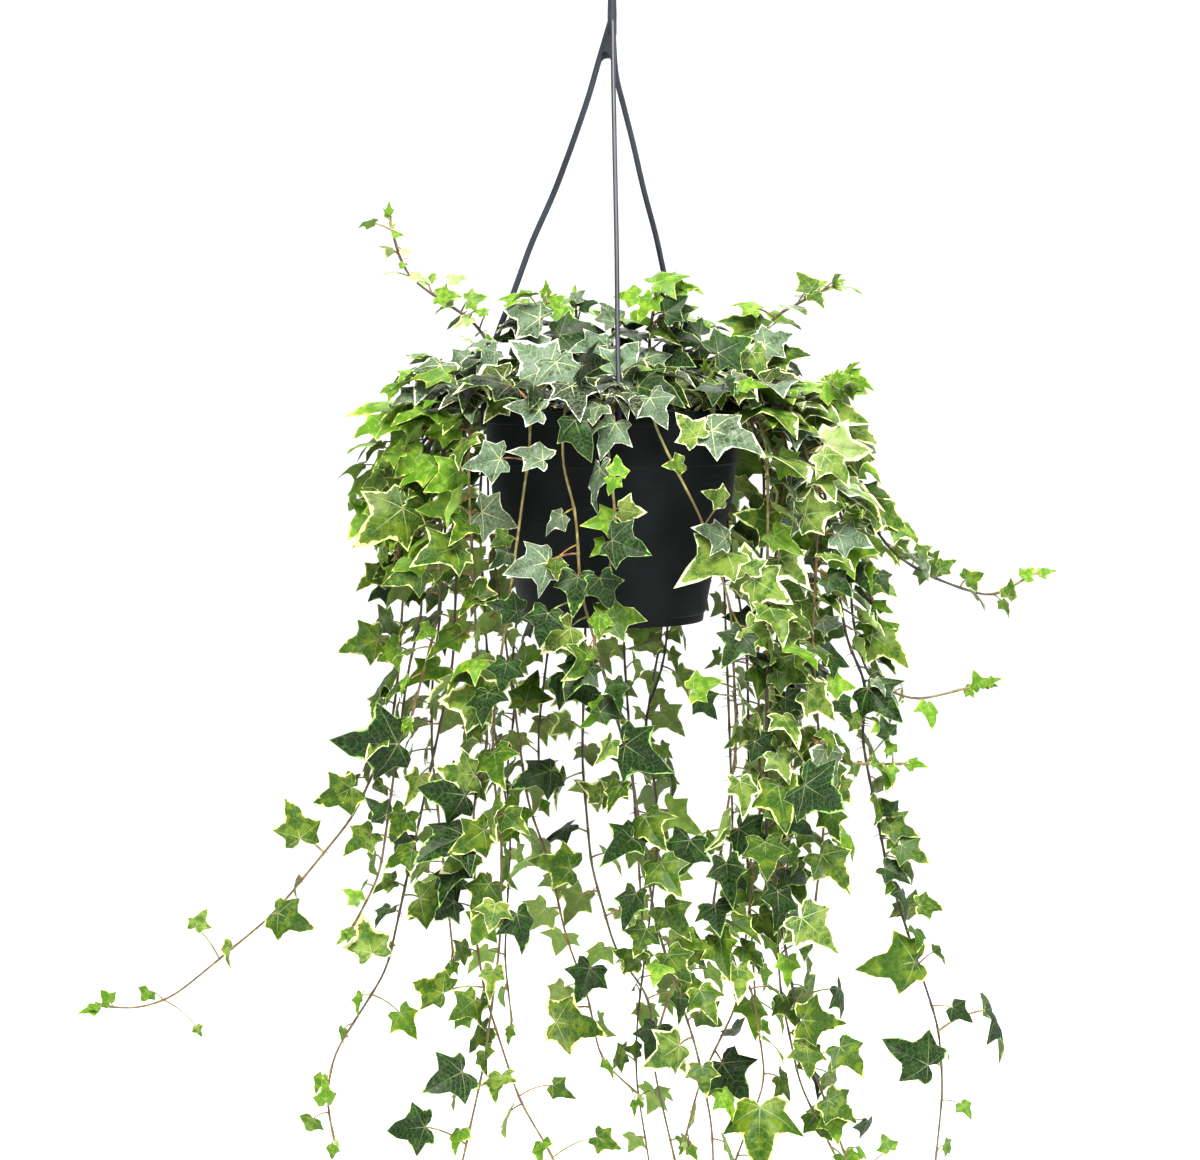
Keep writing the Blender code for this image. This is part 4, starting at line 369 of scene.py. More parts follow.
# Colours of the leaves by kind in sRGB: deep part, pale part and margin. Then come the least and
# the most margin, and the frost.
LEAF_COLOURS = {
    "g": ((60, 88, 60), (108, 134, 106), (230, 234, 214), 0.004, 0.05, 0.8),
    "d": ((22, 56, 12), (44, 86, 20), (150, 182, 100), 0.0, 0.015, 0.0),
    "m": ((58, 98, 8), (112, 142, 22), (212, 220, 140), 0.0, 0.05, 0.1),
    "v": ((72, 116, 22), (142, 170, 62), (234, 236, 184), 0.03, 0.15, 0.4),
    "l": ((96, 150, 14), (146, 190, 46), (196, 214, 100), 0.0, 0.025, 0.2),
    "p": ((170, 202, 106), (204, 222, 150), (234, 238, 190), 0.1, 0.24, 0.6),
}

# How much deeper blades and margins are than they look under the key light, and the painted shade
# put on the blades by rule over the soil, as if shadowed low and high among the shoots
LEAF_DEPTH = 0.52
MARGIN_DEPTH = 0.85
LOW_PAINTED_SHADE = 0.28
HIGH_PAINTED_SHADE = 0.55
TINT_LAYERS = ("deep_tint", "pale_tint", "margin_tint")

# Veins and undersides of the blades in sRGB, and the share and tint of the light through them
VEIN_TINT = (200, 214, 152)
UNDERSIDE_TINT = (150, 172, 96)
THROUGH_SHARE = 0.31
GLOW_TINT = (1.25, 1.3, 0.5)

# Ribs of a blade on one side: direction, reach and width as parts of its length
BLADE_RIBS = [(0.0, 1.0, 1.0, 0.019), (0.894, 0.447, 0.68, 0.015), (0.913, -0.408, 0.46, 0.012)]

# Colours of stems, leaf stalks and aerial roots in sRGB
WOODY_TINTS = [(44, 38, 18), (78, 78, 30), (98, 80, 36), (66, 54, 24)]
OLIVE_TINT = (138, 130, 72)
YOUNG_TINT = (120, 104, 42)
STALK_TINTS = [(146, 160, 84), (132, 126, 66), (148, 104, 62), (118, 138, 66)]
ROOT_TINT = (112, 82, 54)

# Swelling of a stem's nodes, and half thickness of leaf stalks and aerial roots
NODE_SWELL = 1.3
STALK_RADIUS = 0.00034
STALK_GROWTH = 0.011
HAIR_RADII = [0.0003, 0.00024, 0.00012]

# Colours of the dust on the plastic, and of the peat and the bark from dark to light, in sRGB
DUST_TINT = (120, 112, 98)
PEAT_TINTS = ((34, 24, 17), (74, 54, 38))
BARK_TINTS = ((58, 38, 24), (122, 88, 60))

# Half outlines of a leaf blade as parts of its length, from the notch at the joint to the tip
FIVE_LOBED_EDGE = [
    (0.0, -0.02), (0.12, -0.15), (0.27, -0.2), (0.42, -0.17), (0.39, 0.03), (0.63, 0.31),
    (0.4, 0.375), (0.25, 0.47), (0.19, 0.7), (0.0, 1.0),
]
THREE_LOBED_EDGE = [
    (0.0, -0.01), (0.13, -0.11), (0.31, -0.13), (0.38, 0.0), (0.58, 0.28), (0.37, 0.36),
    (0.24, 0.48), (0.18, 0.69), (0.0, 1.0),
]

# A blade's middle, its inner ring's size, the groove's depth along the rib, and half the width of
# the band whose edges stay sharp
BLADE_CENTRE = 0.07
INNER_RING = 0.52
GROOVE_DEPTH = 0.014
RIB_BAND = 0.06

# Blade forms by kind, their folds along the rib in turn, the length of leaf under which the form is
# a small one, and how much more freely a leaf by rule is rolled
SMALL_FORMS = (0, 1, 2, 3)
LARGE_FORMS = (4, 5, 6, 7, 8, 9)
FOLDED_FORMS = (10, 11)
RIB_FOLDS = (0.05, 0.22, 0.34)
SHARP_FOLD = 0.6
SMALL_BLADE = 0.019
FREE_ROLL = 1.8

# The stems of the full plant, once they are worked out
GROWN = []


# Points, rings and tubes

def from_photo(pixel_x, pixel_y, depth):
    """Point seen at a pixel of the photograph, at a depth in mm behind the pot's axis."""
    ray = VIEW_FORWARD * FOCAL_PIXELS + VIEW_UP * (PHOTO_CENTRE_Y - pixel_y)
    ray.x += pixel_x - PHOTO_CENTRE_X
    return VIEW_POINT + ray * ((depth * MM - VIEW_POINT.y) / ray.y)


def seen_pixel(point):
    """Pixel of the photograph at which a point is seen."""
    run = point - VIEW_POINT
    depth = run.dot(VIEW_FORWARD)
    across = PHOTO_CENTRE_X + FOCAL_PIXELS * run.x / depth
    return across, PHOTO_CENTRE_Y - FOCAL_PIXELS * run.dot(VIEW_UP) / depth


def plan_radius(point):
    """Distance of a point from the pot's axis."""
    return math.hypot(point.x, point.y)


def random_vector(rng, reach):
    return Vector([rng.uniform(-reach, reach) for _ in range(3)])


def smooth_route(points, step):
    """Points at about even steps on a smooth curve through the given points."""
    result = []
    last = len(points) - 1
    for index in range(last):
        before = points[max(index - 1, 0)]
        start = points[index]
        end = points[index + 1]
        after = points[min(index + 2, last)]
        pieces = max(1, round((end - start).length / step))
        for piece in range(pieces):
            t = piece / pieces
            result.append(0.5 * (2.0 * start + (end - before) * t
                                 + (2.0 * before - 5.0 * start + 4.0 * end - after) * t ** 2
                                 + (3.0 * start - before - 3.0 * end + after) * t ** 3))
    result.append(points[last].copy())
    return result


def bent_line(start, corner, end, steps):
    """Points of an arc that leaves start towards a corner and turns to the end."""
    shares = [step / steps for step in range(steps + 1)]
    return [start * (1.0 - t) ** 2 + corner * (2.0 * t * (1.0 - t)) + end * t ** 2 for t in shares]


def direction_at(points, index):
    """Direction of a route at one of its points."""
    return (points[min(index + 1, len(points) - 1)] - points[max(index - 1, 0)]).normalized()


def turns(count, start=0.0):
    """Even angles of a full turn."""
    return [2.0 * math.pi * (index + start) / count for index in range(count)]


def ring_points(radius, height, sides):
    """Points of a level ring round the pot's axis."""
    return [Vector((radius * math.cos(turn), radius * math.sin(turn), height))
            for turn in turns(sides)]


def wall_faces(rings, sides):
    """Faces of a closed body whose points lie in rings, one after the other."""
    faces = []
    for ring in range(rings - 1):
        for turn in range(sides):
            a = ring * sides + turn
            b = ring * sides + (turn + 1) % sides
            faces.append((a, b, b + sides, a + sides))
    end = (rings - 1) * sides
    return faces + [tuple(range(sides))[::-1], tuple(range(end, end + sides))]


def tube_shape(corners, radii, sides):
    """Vertices and faces of a plain closed tube along some corners."""
    verts = []
    side = direction_at(corners, 0).orthogonal()
    for index, corner in enumerate(corners):
        along = direction_at(corners, index)
        side = (side - along * side.dot(along)).normalized()
        other = along.cross(side)
        verts += [corner + (side * math.cos(turn) + other * math.sin(turn)) * radii[index]
                  for turn in turns(sides)]
    return verts, wall_faces(len(corners), sides)


def turned_shape(rows, sides):
    """Vertices and faces of a closed turned body from (radius, height) rows."""
    verts = []
    for radius, height in rows:
        verts += ring_points(radius, height, sides)
    return verts, wall_faces(len(rows), sides)


# Layout of the stems and leaves

def read_table(text):
    """Entries of a table kept as text: each a name, and its rows as lists of words."""
    entries = [entry.split(":") for entry in text.split(";")]
    return [(name.strip(), [row.split() for row in rows.split(",")]) for name, rows in entries]


class Vine:
    """One stem: its corners, and the distances along them."""

    def __init__(self, name, corners):
        self.name = name
        self.corners = corners
        self.leaves = []
        self.roots = []
        self.marks = [0.0]
        for start, end in zip(corners, corners[1:]):
            self.marks.append(self.marks[-1] + (end - start).length)
        self.length = self.marks[-1]
        thinner = STEM_TIP_RADIUS - STEM_ROOT_RADIUS
        self.radii = [STEM_ROOT_RADIUS + thinner * (mark / self.length) ** 0.8
                      for mark in self.marks]

    def point_at(self, distance):
        """Place and direction at a distance along the corners."""
        index = 0
        while index < len(self.marks) - 2 and distance > self.marks[index + 1]:
            index += 1
        start = self.corners[index]
        run = (self.corners[index + 1] - start).normalized()
        return start + run * (distance - self.marks[index]), run

    def nearest(self, target, lowest_mark):
        """Distance along the stem of the point nearest to a target, from a lowest mark on."""
        best, least = 0.0, math.inf
        for index, (start, end) in enumerate(zip(self.corners, self.corners[1:])):
            run = end - start
            along = min(max((target - start).dot(run) / run.length_squared, 0.0), 1.0)
            mark = self.marks[index] + run.length * along
            miss = (start + run * along - target).length
            if miss < least and mark >= lowest_mark:
                best, least = mark, miss
        return best

    def soft_route(self, step):
        """Fine route along the corners, with every bend rounded."""
        count = max(4, round(self.length / step))
        points = [self.point_at(self.length * index / count)[0] for index in range(count + 1)]
        for _ in range(BEND_PASSES):
            points[1:-1] = [(before + after) * 0.25 + point * 0.5
                            for before, point, after in zip(points, points[1:], points[2:])]
        return points


def strap_corners(name):
    """Corners of one strap, from the hub to the end of its peg under the rim."""
    points = smooth_route([from_photo(*place) for place in STRAP_ROUTES[name]], STRAP_STEP)
    end_x = (STRAP_END_X[name] - POT_AXIS_X) * METRES_PER_PIXEL
    if not STRAP_BEHIND[name]:
        end_x *= (VIEW_DISTANCE - STRAP_RIM_RADIUS) / VIEW_DISTANCE
    end_x = max(-0.985 * STRAP_RIM_RADIUS, end_x)
    end_y = math.sqrt(STRAP_RIM_RADIUS ** 2 - end_x ** 2) * (1.0 if STRAP_BEHIND[name] else -1.0)
    return points + [Vector((end_x, end_y, RIM_Z + height))
                     for height in (0.004, -0.003, -PEG_DEPTH)]


def pot_guard():
    """Envelope of the pot and its soil, 1 mm out, that no leaf may cross."""
    margin = 1.0 * MM
    inside = 82.4 * MM
    middle = 0.5 * MM
    foot = RIM_Z - POT_HEIGHT - margin
    rows = [(middle, SOIL_Z + margin), (inside, SOIL_Z + margin), (inside, RIM_Z + margin)]
    rows.append((POT_OUTER[1][1] * MM + margin, RIM_Z + margin))
    for depth, radius in POT_OUTER[2:]:
        rows.append((radius * MM + margin, RIM_Z - depth * MM - (margin if radius > 86.0 else 0.0)))
    rows += [(POT_OUTER[-1][1] * MM + margin, foot), (middle, foot)]
    return turned_shape(rows, GUARD_SIDES)


def guard_tree(corners, radii, sides):
    """Envelope of a stem or strap that no leaf may cross."""
    radii = [CORNER_STRETCH * radius + LEAF_GAP for radius in radii]
    return BVHTree.FromPolygons(*tube_shape(corners, radii, sides))


class Leaf:
    """One leaf: its blade's frame, its size and the place of its stalk on a stem."""

    def __init__(self, kind, joint, along, face, length, vine, mark, curl=1.0, width=1.0):
        self.kind = kind
        self.joint = joint
        self.length = length
        self.vine = vine
        self.mark = mark
        self.curl = curl
        self.width = width
        self.along = along.normalized()
        self.face = (face - self.along * face.dot(self.along)).normalized()
        self.across = self.along.cross(self.face)
        self.root = vine.point_at(mark)[0]
        self.stalk = (joint - self.root).normalized()

    def stalk_tree(self):
        """The stalk alone, a little thicker and short of the blade, to test against the blade."""
        end = self.joint - self.stalk * min(2.5 * MM, 0.4 * (self.joint - self.root).length)
        radii = [1.4 * PETIOLE_RADIUS] * 2
        return BVHTree.FromPolygons(*tube_shape([self.root, end], radii, TEST_SIDES))

    def outline(self):
        """Points of the blade's edge, from the right base lobe round the tip to the left one."""
        small = self.kind[0] in "lp" or self.length < SMALL_LEAF
        half = THREE_LOBES if small else FIVE_LOBES
        rows = half + [(-x, y, z) for x, y, z in reversed(half[:-1])]
        return [(x * self.width, y, z * self.curl) for x, y, z in rows]

    def spot(self, x, y, z):
        """World place of a spot given in mm in the blade's own frame."""
        return self.joint + (self.across * x + self.along * y + self.face * z) * MM

    def fits_its_stalk(self):
        """Whether the stalk reaches the blade from behind or from its base."""
        return self.stalk.dot(self.along * 0.633 + self.face * 0.774) > 0.3

    def shape(self, grow):
        """Vertices and faces of the closed leaf with its stalk, all of it larger by grow."""
        size = self.length / MM
        stretch = grow / MM
        radius = PETIOLE_RADIUS / MM
        spread = 1.0 + stretch / (0.45 * size)
        verts = [self.spot(x * size * spread, y * size * spread, z * size)
                 for x, y, z in self.outline()]
        edge = len(verts)
        low = (0.75 * radius, -0.6 * radius - stretch)
        ends = [self.spot(0.0, -0.9 * radius - stretch, 0.75 * radius + stretch),
                self.spot(-radius - stretch, *low), self.spot(radius + stretch, *low)]
        verts += ends
        centre = (ends[0] + ends[1] + ends[2]) / 3.0
        for point in ends:
            offset = point - centre
            verts.append(self.root + (offset - self.stalk * offset.dot(self.stalk)))
        t, l, r = edge, edge + 1, edge + 2
        faces = [(t, index, index + 1) for index in range(edge - 1)]
        tip = edge // 2
        faces += [(r, index + 1, index) for index in range(tip)]
        faces += [(l, index + 1, index) for index in range(tip, edge - 1)]
        faces += [(l, tip, r), (t, r, 0), (t, edge - 1, l)]
        faces += [(t, l, l + 3), (t, l + 3, t + 3), (l, r, r + 3), (l, r + 3, l + 3)]
        faces += [(r, t, t + 3), (r, t + 3, r + 3), (t + 3, l + 3, r + 3)]
        return verts, faces


def middle_and_reach(verts):
    """Middle of some points, and the distance of the farthest from it."""
    points = np.array([vert[:] for vert in verts])
    centre = points.mean(0)
    return centre, np.linalg.norm(points - centre, axis=1).max()


class Thicket:
    """Everything placed so far, to test whether a new leaf is clear of it."""

    def __init__(self, vines):
        self.vines = vines
        self.centres = np.zeros((0, 3))
        self.reaches = np.zeros(0)
        self.trees = []
        self.stem_trees = [guard_tree(vine.corners, vine.radii, TEST_SIDES) for vine in vines]
        self.guards = [BVHTree.FromPolygons(*pot_guard())]
        for name in STRAP_ROUTES:
            corners = strap_corners(name)
            radii = [STRAP_RADIUS] * len(corners)
            self.guards.append(guard_tree(corners, radii, STRAP_GUARD_SIDES))

    def near_trees(self, verts):
        """The placed leaves that are near enough to touch a body with these points."""
        centre, reach = middle_and_reach(verts)
        near = np.linalg.norm(self.centres - centre, axis=1) < self.reaches + reach
        return [self.trees[index] for index in np.nonzero(near)[0]]

    def is_clear(self, leaf):
        """Whether a leaf of the layout, grown by the least gap, touches nothing."""
        near_root = any(abs(mark - leaf.mark) < ROOT_SPACING for mark in leaf.vine.roots)
        near_corner = any(abs(mark - leaf.mark) < CORNER_GAP for mark in leaf.vine.marks)
        if near_root or near_corner or not leaf.fits_its_stalk():
            return False
        verts, faces = leaf.shape(LEAF_GAP)
        tree = BVHTree.FromPolygons(verts, faces)
        blade = BVHTree.FromPolygons(verts, faces[:-STALK_FACES - 3])
        if blade.overlap(leaf.stalk_tree()) or any(tree.overlap(guard) for guard in self.guards):
            return False
        for vine, stem_tree in zip(self.vines, self.stem_trees):
            if (blade if vine is leaf.vine else tree).overlap(stem_tree):
                return False
        return not any(tree.overlap(other) for other in self.near_trees(verts))

    def has_room(self, leaf):
        """Whether a further leaf's blade is clear of the pot, the straps and the other leaves."""
        if not leaf.fits_its_stalk():
            return False
        verts, faces = leaf.shape(0.1 * MM)
        blade = BVHTree.FromPolygons(verts, faces[:-STALK_FACES])
        return not any(blade.overlap(other)
                       for other in self.guards + self.near_trees(verts[:-3]))

    def add(self, leaf):
        verts, faces = leaf.shape(0.0)
        centre, reach = middle_and_reach(verts)
        self.centres = np.vstack([self.centres, centre])
        self.reaches = np.append(self.reaches, reach)
        self.trees.append(BVHTree.FromPolygons(verts, faces))
        leaf.vine.leaves.append(leaf)
        leaf.vine.roots.append(leaf.mark)


def stem_seen_at(vines, pixel_x, pixel_y):
    """Stem that passes nearest to a pixel in the view, with a slight preference for the front."""
    left, top, right, bottom = POT_WINDOW
    over_the_pot = left < pixel_x < right and top < pixel_y < bottom
    best = None
    for vine in vines:
        if vine.name.startswith("rear"):
            continue
        for depth in SIGHT_DEPTHS:
            target = from_photo(pixel_x, pixel_y, depth)
            mark = vine.nearest(target, vine.marks[1] + STEM_START_GAP)
            place = vine.point_at(mark)[0]
            seen = from_photo(pixel_x, pixel_y, place.y / MM)
            score = (seen - place).length + 0.06 * (place.y + 0.1)
            if over_the_pot and place.y > -0.02:
                score += 1.0
            if best is None or score < best[0]:
                best = (score, vine, mark)
    return best[1], best[2]


def marked_leaf(kind, joint, seen, vine, root, size, twist, lift, curl):
    """A leaf read from the photograph, with its face turned so that its stalk comes from behind."""
    normal = Vector((math.sin(twist), -math.cos(twist), lift)).normalized()
    along = Vector((seen.x, -(seen.x * normal.x + seen.z * normal.z) / normal.y, seen.z))
    if kind.endswith("n"):
        along = seen
        normal = Vector((0.88, -0.47, 0.1))
        if (joint - vine.point_at(root)[0]).x < 0.0:
            normal.x = -normal.x
    width = FOLDED_WIDTH if kind.endswith("f") else 1.0
    return Leaf(kind, joint, along, normal, along.length * size, vine, root, curl, width)


def place_marked_leaf(thicket, mark_row, rng):
    """Places one leaf read from the photograph, at the first depth and size that is clear."""
    kind = mark_row[0]
    base_x, base_y, tip_x, tip_y = [float(word) for word in mark_row[1:]]
    vine, mark = stem_seen_at(thicket.vines, base_x, base_y)
    stem_depth = vine.point_at(mark)[0].y / MM
    twist = rng.uniform(-0.3, 0.3)
    lift = rng.uniform(0.2, 0.5)
    curl = 0.6 + 0.8 * rng.random()
    for size, offset, slide in itertools.product(MARK_SIZES, MARK_DEPTHS, MARK_SLIDES):
        depth = stem_depth + offset
        joint = from_photo(base_x, base_y, depth)
        seen = from_photo(tip_x, tip_y, depth) - joint
        root = max(mark + slide * MM, vine.marks[1] + STEM_START_GAP)
        root = min(root, vine.length - STEM_END_GAP)
        leaf = marked_leaf(kind, joint, seen, vine, root, size, twist, lift, curl)
        if (joint - leaf.root).length < PETIOLE_LIMIT and thicket.is_clear(leaf):
            thicket.add(leaf)
            return


def area_at(areas, point, otherwise):
    """What a table of areas of the photograph says for the place at which a point is seen."""
    x, y = seen_pixel(point)
    for left, top, right, bottom, value in areas:
        if left < x < right and top < y < bottom:
            return value
    return otherwise


def layout_spacing(vine, point):
    """Distance along a stem between the leaves of the layout: close at the top, wide below."""
    if vine.name.startswith("rear"):
        return vine.length / 4.0
    below = RIM_Z - point.z
    if below < CLOSE_DEPTH:
        return CLOSE_SPACING
    return WIDE_SPACING + WIDE_GROWTH * min((below - CLOSE_DEPTH) / WIDE_RUN, 1.0)


def further_spacing(vine, point):
    """Distance along a stem between the further leaves."""
    if vine.name.startswith("top"):
        return SHOOT_SPACING
    if vine.name == "left_runner" and point.x < -RUNNER_X:
        return RUNNER_SPACING
    if point.z > RIM_Z - 0.012:
        return CROWN_SPACING
    if point.y > 0.06:
        return BACK_SPACING if point.z > RIM_Z - 0.26 else LOW_BACK_SPACING
    return area_at(FURTHER_AREAS, point, OTHER_SPACING) * MM


def place_leaves(thicket, vine, rng, limit, further=False):
    """Leaves on alternate sides of a stem, as far as none was read there from the photograph."""
    mark = vine.marks[1] + rng.uniform(0.012, 0.028) * (0.35 if further else 1.0)
    side = rng.choice((-1.0, 1.0))
    end = vine.length - (0.003 if further else 0.0)
    placed = 0
    while mark < end and placed < limit:
        point = vine.point_at(mark)[0]
        bare_pot = (point.y < BARE_POT_Y and abs(point.x) < BARE_POT_X
                    and RIM_Z - POT_HEIGHT - 0.012 < point.z < RIM_Z + 0.004)
        taken = not further and any(abs(root - mark) < TAKEN_GAP for root in vine.roots)
        if not taken and not bare_pot:
            placed += place_leaf(thicket, vine, mark, side, rng, further)
            side = -side
        spacing = further_spacing if further else layout_spacing
        mark += spacing(vine, point) * rng.uniform(0.8, 1.2)


def place_leaf(thicket, vine, mark, side, rng, further):
    """Places one leaf that faces outwards with its tip hanging: 1 if it found room, else 0."""
    point = vine.point_at(mark)[0]
    outward = Vector((point.x, point.y, 0.0))
    outward = outward.normalized() if outward.length > 0.03 else Vector((0.0, -1.0, 0.0))
    crown = point.z > RIM_Z - 0.01
    age = 1.0 - mark / vine.length
    tries = (24 if crown else 10) if further else 9
    for attempt in range(tries):
        turn = side * rng.uniform(0.3, 1.3) * (1.0 if attempt % 10 < 6 else -1.0)
        aside = Vector((-outward.y, outward.x, 0.0)) * math.sin(turn) + outward * math.cos(turn)
        rise = rng.uniform(0.2, 0.9) if crown else rng.uniform(-0.35, 0.5)
        stalk = (aside + Vector((0.0, 0.0, rise))).normalized()
        reach = rng.uniform(0.012, 0.026) * (1.25 if crown else 1.0)
        size = (LEAST_SIZE + SIZE_GROWTH * min(age * 1.6, 1.0)) * rng.uniform(0.82, 1.15)
        size *= 1.0 if attempt % 12 < 5 else 0.8
        loose = 0.4
        if further:
            reach *= 0.6
            low = point.z < RIM_Z - LOW_DEPTH and abs(point.x) < RUNNER_X
            size *= 1.0 if crown else LOW_LEAF_SIZE if low else HIGH_LEAF_SIZE
            loose = 0.9
        droop = Vector((0.0, 0.0, -0.45 if crown else -1.0))
        along = (stalk * rng.uniform(0.4, 0.9) + droop * rng.uniform(0.5, 1.0)).normalized()
        face = outward * (0.5 if crown else 0.8) + Vector((0.0, 0.0, 1.0 if crown else 0.45))
        if point.y < 0.03:
            face += Vector((0.0, -0.8, 0.0))
        face += Vector((rng.uniform(-loose, loose), rng.uniform(-loose, loose), 0.0))
        width = FOLDED_WIDTH if further and rng.random() < FOLDED_SHARE else 1.0
        kind = "l" if age < 0.12 else "r"
        leaf = Leaf(kind, point + stalk * reach, along, face, size, vine, mark,
                    0.6 + 0.8 * rng.random(), width)
        if (thicket.has_room if further else thicket.is_clear)(leaf):
            thicket.add(leaf)
            return 1
    return 0


def place_tip_leaves(thicket, vine, rng):
    """The cluster of young leaves in which a stem ends."""
    end, run = vine.point_at(vine.length)
    for index in range(3):
        spread = Vector((rng.uniform(-1, 1), rng.uniform(-1, 0.3), rng.uniform(-0.6, 0.4)))
        along = (run + spread * (0.3 + 0.35 * index)).normalized()
        joint = end + along * (0.002 + 0.002 * index)
        face = Vector((rng.uniform(-0.5, 0.5), -1.0, rng.uniform(0.0, 0.8)))
        mark = vine.length - 0.0012 * (index + 1)
        size = 0.0065 + 0.0028 * index
        thicket.add(Leaf("lp"[index == 0], joint, along, face, size, vine, mark, 0.8, 0.75))


def grow_ivy():
    """The layout: all stems, with the leaves read from the photograph and then those by rule."""
    vines = []
    for name, (root, *above) in read_table(STEM_CORNERS):
        rows = [[*root, depth] for depth in STEM_FOOT_DEPTHS] + above
        corners = [Vector((float(x), float(y), -float(depth))) * MM for x, y, depth in rows]
        vines.append(Vine(name, corners))
    thicket = Thicket(vines)
    rng = random.Random(11)
    for _, rows in read_table(LEAF_MARKS):
        for row in rows:
            place_marked_leaf(thicket, row, rng)
    for vine in vines:
        limit = RULE_LIMITS.get(vine.name.split("_")[0], SIDE_LIMIT)
        place_leaves(thicket, vine, random.Random(vine.name), limit)
    return thicket


def full_ivy():
    """The layout's stems and leaves with the further leaves, worked out once."""
    if not GROWN:
        thicket = grow_ivy()
        for vine in thicket.vines:
            rng = random.Random("further " + vine.name)
            place_leaves(thicket, vine, rng, math.inf, further=True)
            place_tip_leaves(thicket, vine, rng)
        GROWN.extend(thicket.vines)
    return GROWN


# Colours, meshes and pieces

def linear(colour):
    """Linear values of an sRGB colour given in steps of 255."""
    parts = [value / 255.0 for value in colour]
    return tuple(part / 12.92 if part <= 0.04045 else ((part + 0.055) / 1.055) ** 2.4
                 for part in parts)


def blend_tints(first, second, part):
    return tuple(a + (b - a) * part for a, b in zip(first, second))


def new_mesh(name, verts, faces, edges=()):
    mesh = bpy.data.meshes.new(name)
    mesh.from_pydata([tuple(vert) for vert in verts], list(edges), faces)
    return mesh


def mesh_of(work, name):
    """A mesh from bmesh data, which is then freed."""
    mesh = bpy.data.meshes.new(name)
    work.to_mesh(mesh)
    work.free()
    return mesh


def closed_mesh(name, verts, faces):
    """A closed mesh with its faces turned outwards."""
    mesh = new_mesh(name, verts, faces)
    work = bmesh.new()
    work.from_mesh(mesh)
    bmesh.ops.recalc_face_normals(work, faces=work.faces)
    work.to_mesh(mesh)
    work.free()
    return mesh


def new_object(name, mesh, collection=None):
    item = bpy.data.objects.new(name, mesh)
    (collection or bpy.context.scene.collection).objects.link(item)
    return item


def remove_all(items):
    for item in list(items):
        bpy.data.objects.remove(item, do_unlink=True)


def set_attribute(mesh, name, kind, values, domain="POINT"):
    """Values on the points or faces of a mesh, one for each."""
    field = {"FLOAT_VECTOR": "vector", "FLOAT_COLOR": "color"}.get(kind, "value")
    layer = mesh.attributes.new(name, kind, domain)
    layer.data.foreach_set(field, np.array(values, dtype=int if kind == "INT" else float).ravel())


def shade_round(mesh, degrees):
    mesh.shade_smooth()
    mesh.set_sharp_from_angle(angle=math.radians(degrees))


def plain_mesh(item):
    """Mesh of an object with its modifiers worked in."""
    graph = bpy.context.evaluated_depsgraph_get()
    graph.update()
    return bpy.data.meshes.new_from_object(item.evaluated_get(graph),
                                           preserve_all_data_layers=True, depsgraph=graph)


def run_nodes(guide_mesh, tree, values):
    """Plain mesh that a Geometry Nodes tree makes from a guide, with its named inputs set."""
    guide = new_object("guide", guide_mesh)
    modifier = guide.modifiers.new("nodes", "NODES")
    modifier.node_group = tree
    for socket in tree.interface.items_tree:
        if socket.in_out == "INPUT" and socket.name in values:
            modifier[socket.identifier] = values[socket.name]
    mesh = plain_mesh(guide)
    remove_all([guide])
    return mesh


def add_piece(name, mesh, node, finish=None, round_angle=None):
    """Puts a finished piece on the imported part, for the node that it stands for, with its slot."""
    if not mesh.polygons:
        raise RuntimeError(name + " has no faces")
    if finish:
        mesh.materials.clear()
        mesh.materials.append(finish)
    if round_angle:
        shade_round(mesh, round_angle)
    piece = new_object(name, mesh)
    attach(piece, "root")
    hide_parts(node)
    return mesh


def add_growth(prefix, vine, mesh, round_angle=None):
    """A piece of one stem or its leaves, for the stem's node."""
    add_piece(prefix + vine.name, mesh, "vine_" + vine.name, round_angle=round_angle)


# Node trees

class Wire:
    """An output in a node tree. Sums and products of wires add the Math nodes for them."""

    def __init__(self, wiring, socket):
        self.wiring = wiring
        self.socket = socket

    def other(self, name):
        """Another output of the same node."""
        return Wire(self.wiring, self.socket.node.outputs[name])

    def math(self, operation, *others):
        sockets = dict(enumerate((self, *others)))
        return self.wiring.node("ShaderNodeMath", sockets, operation=operation)

    def __add__(self, value):
        return self.math("ADD", value)

    def __sub__(self, value):
        return self.math("SUBTRACT", value)

    def __mul__(self, value):
        return self.math("MULTIPLY", value)

    def __truediv__(self, value):
        return self.math("DIVIDE", value)

    def __abs__(self):
        return self.math("ABSOLUTE")

    def step(self, low, high):
        """0 on the side of low and 1 on the side of high, smooth between them."""
        sockets = {"Value": self, "From Min": low, "From Max": high}
        return self.wiring.node("ShaderNodeMapRange", sockets, interpolation_type="SMOOTHSTEP")


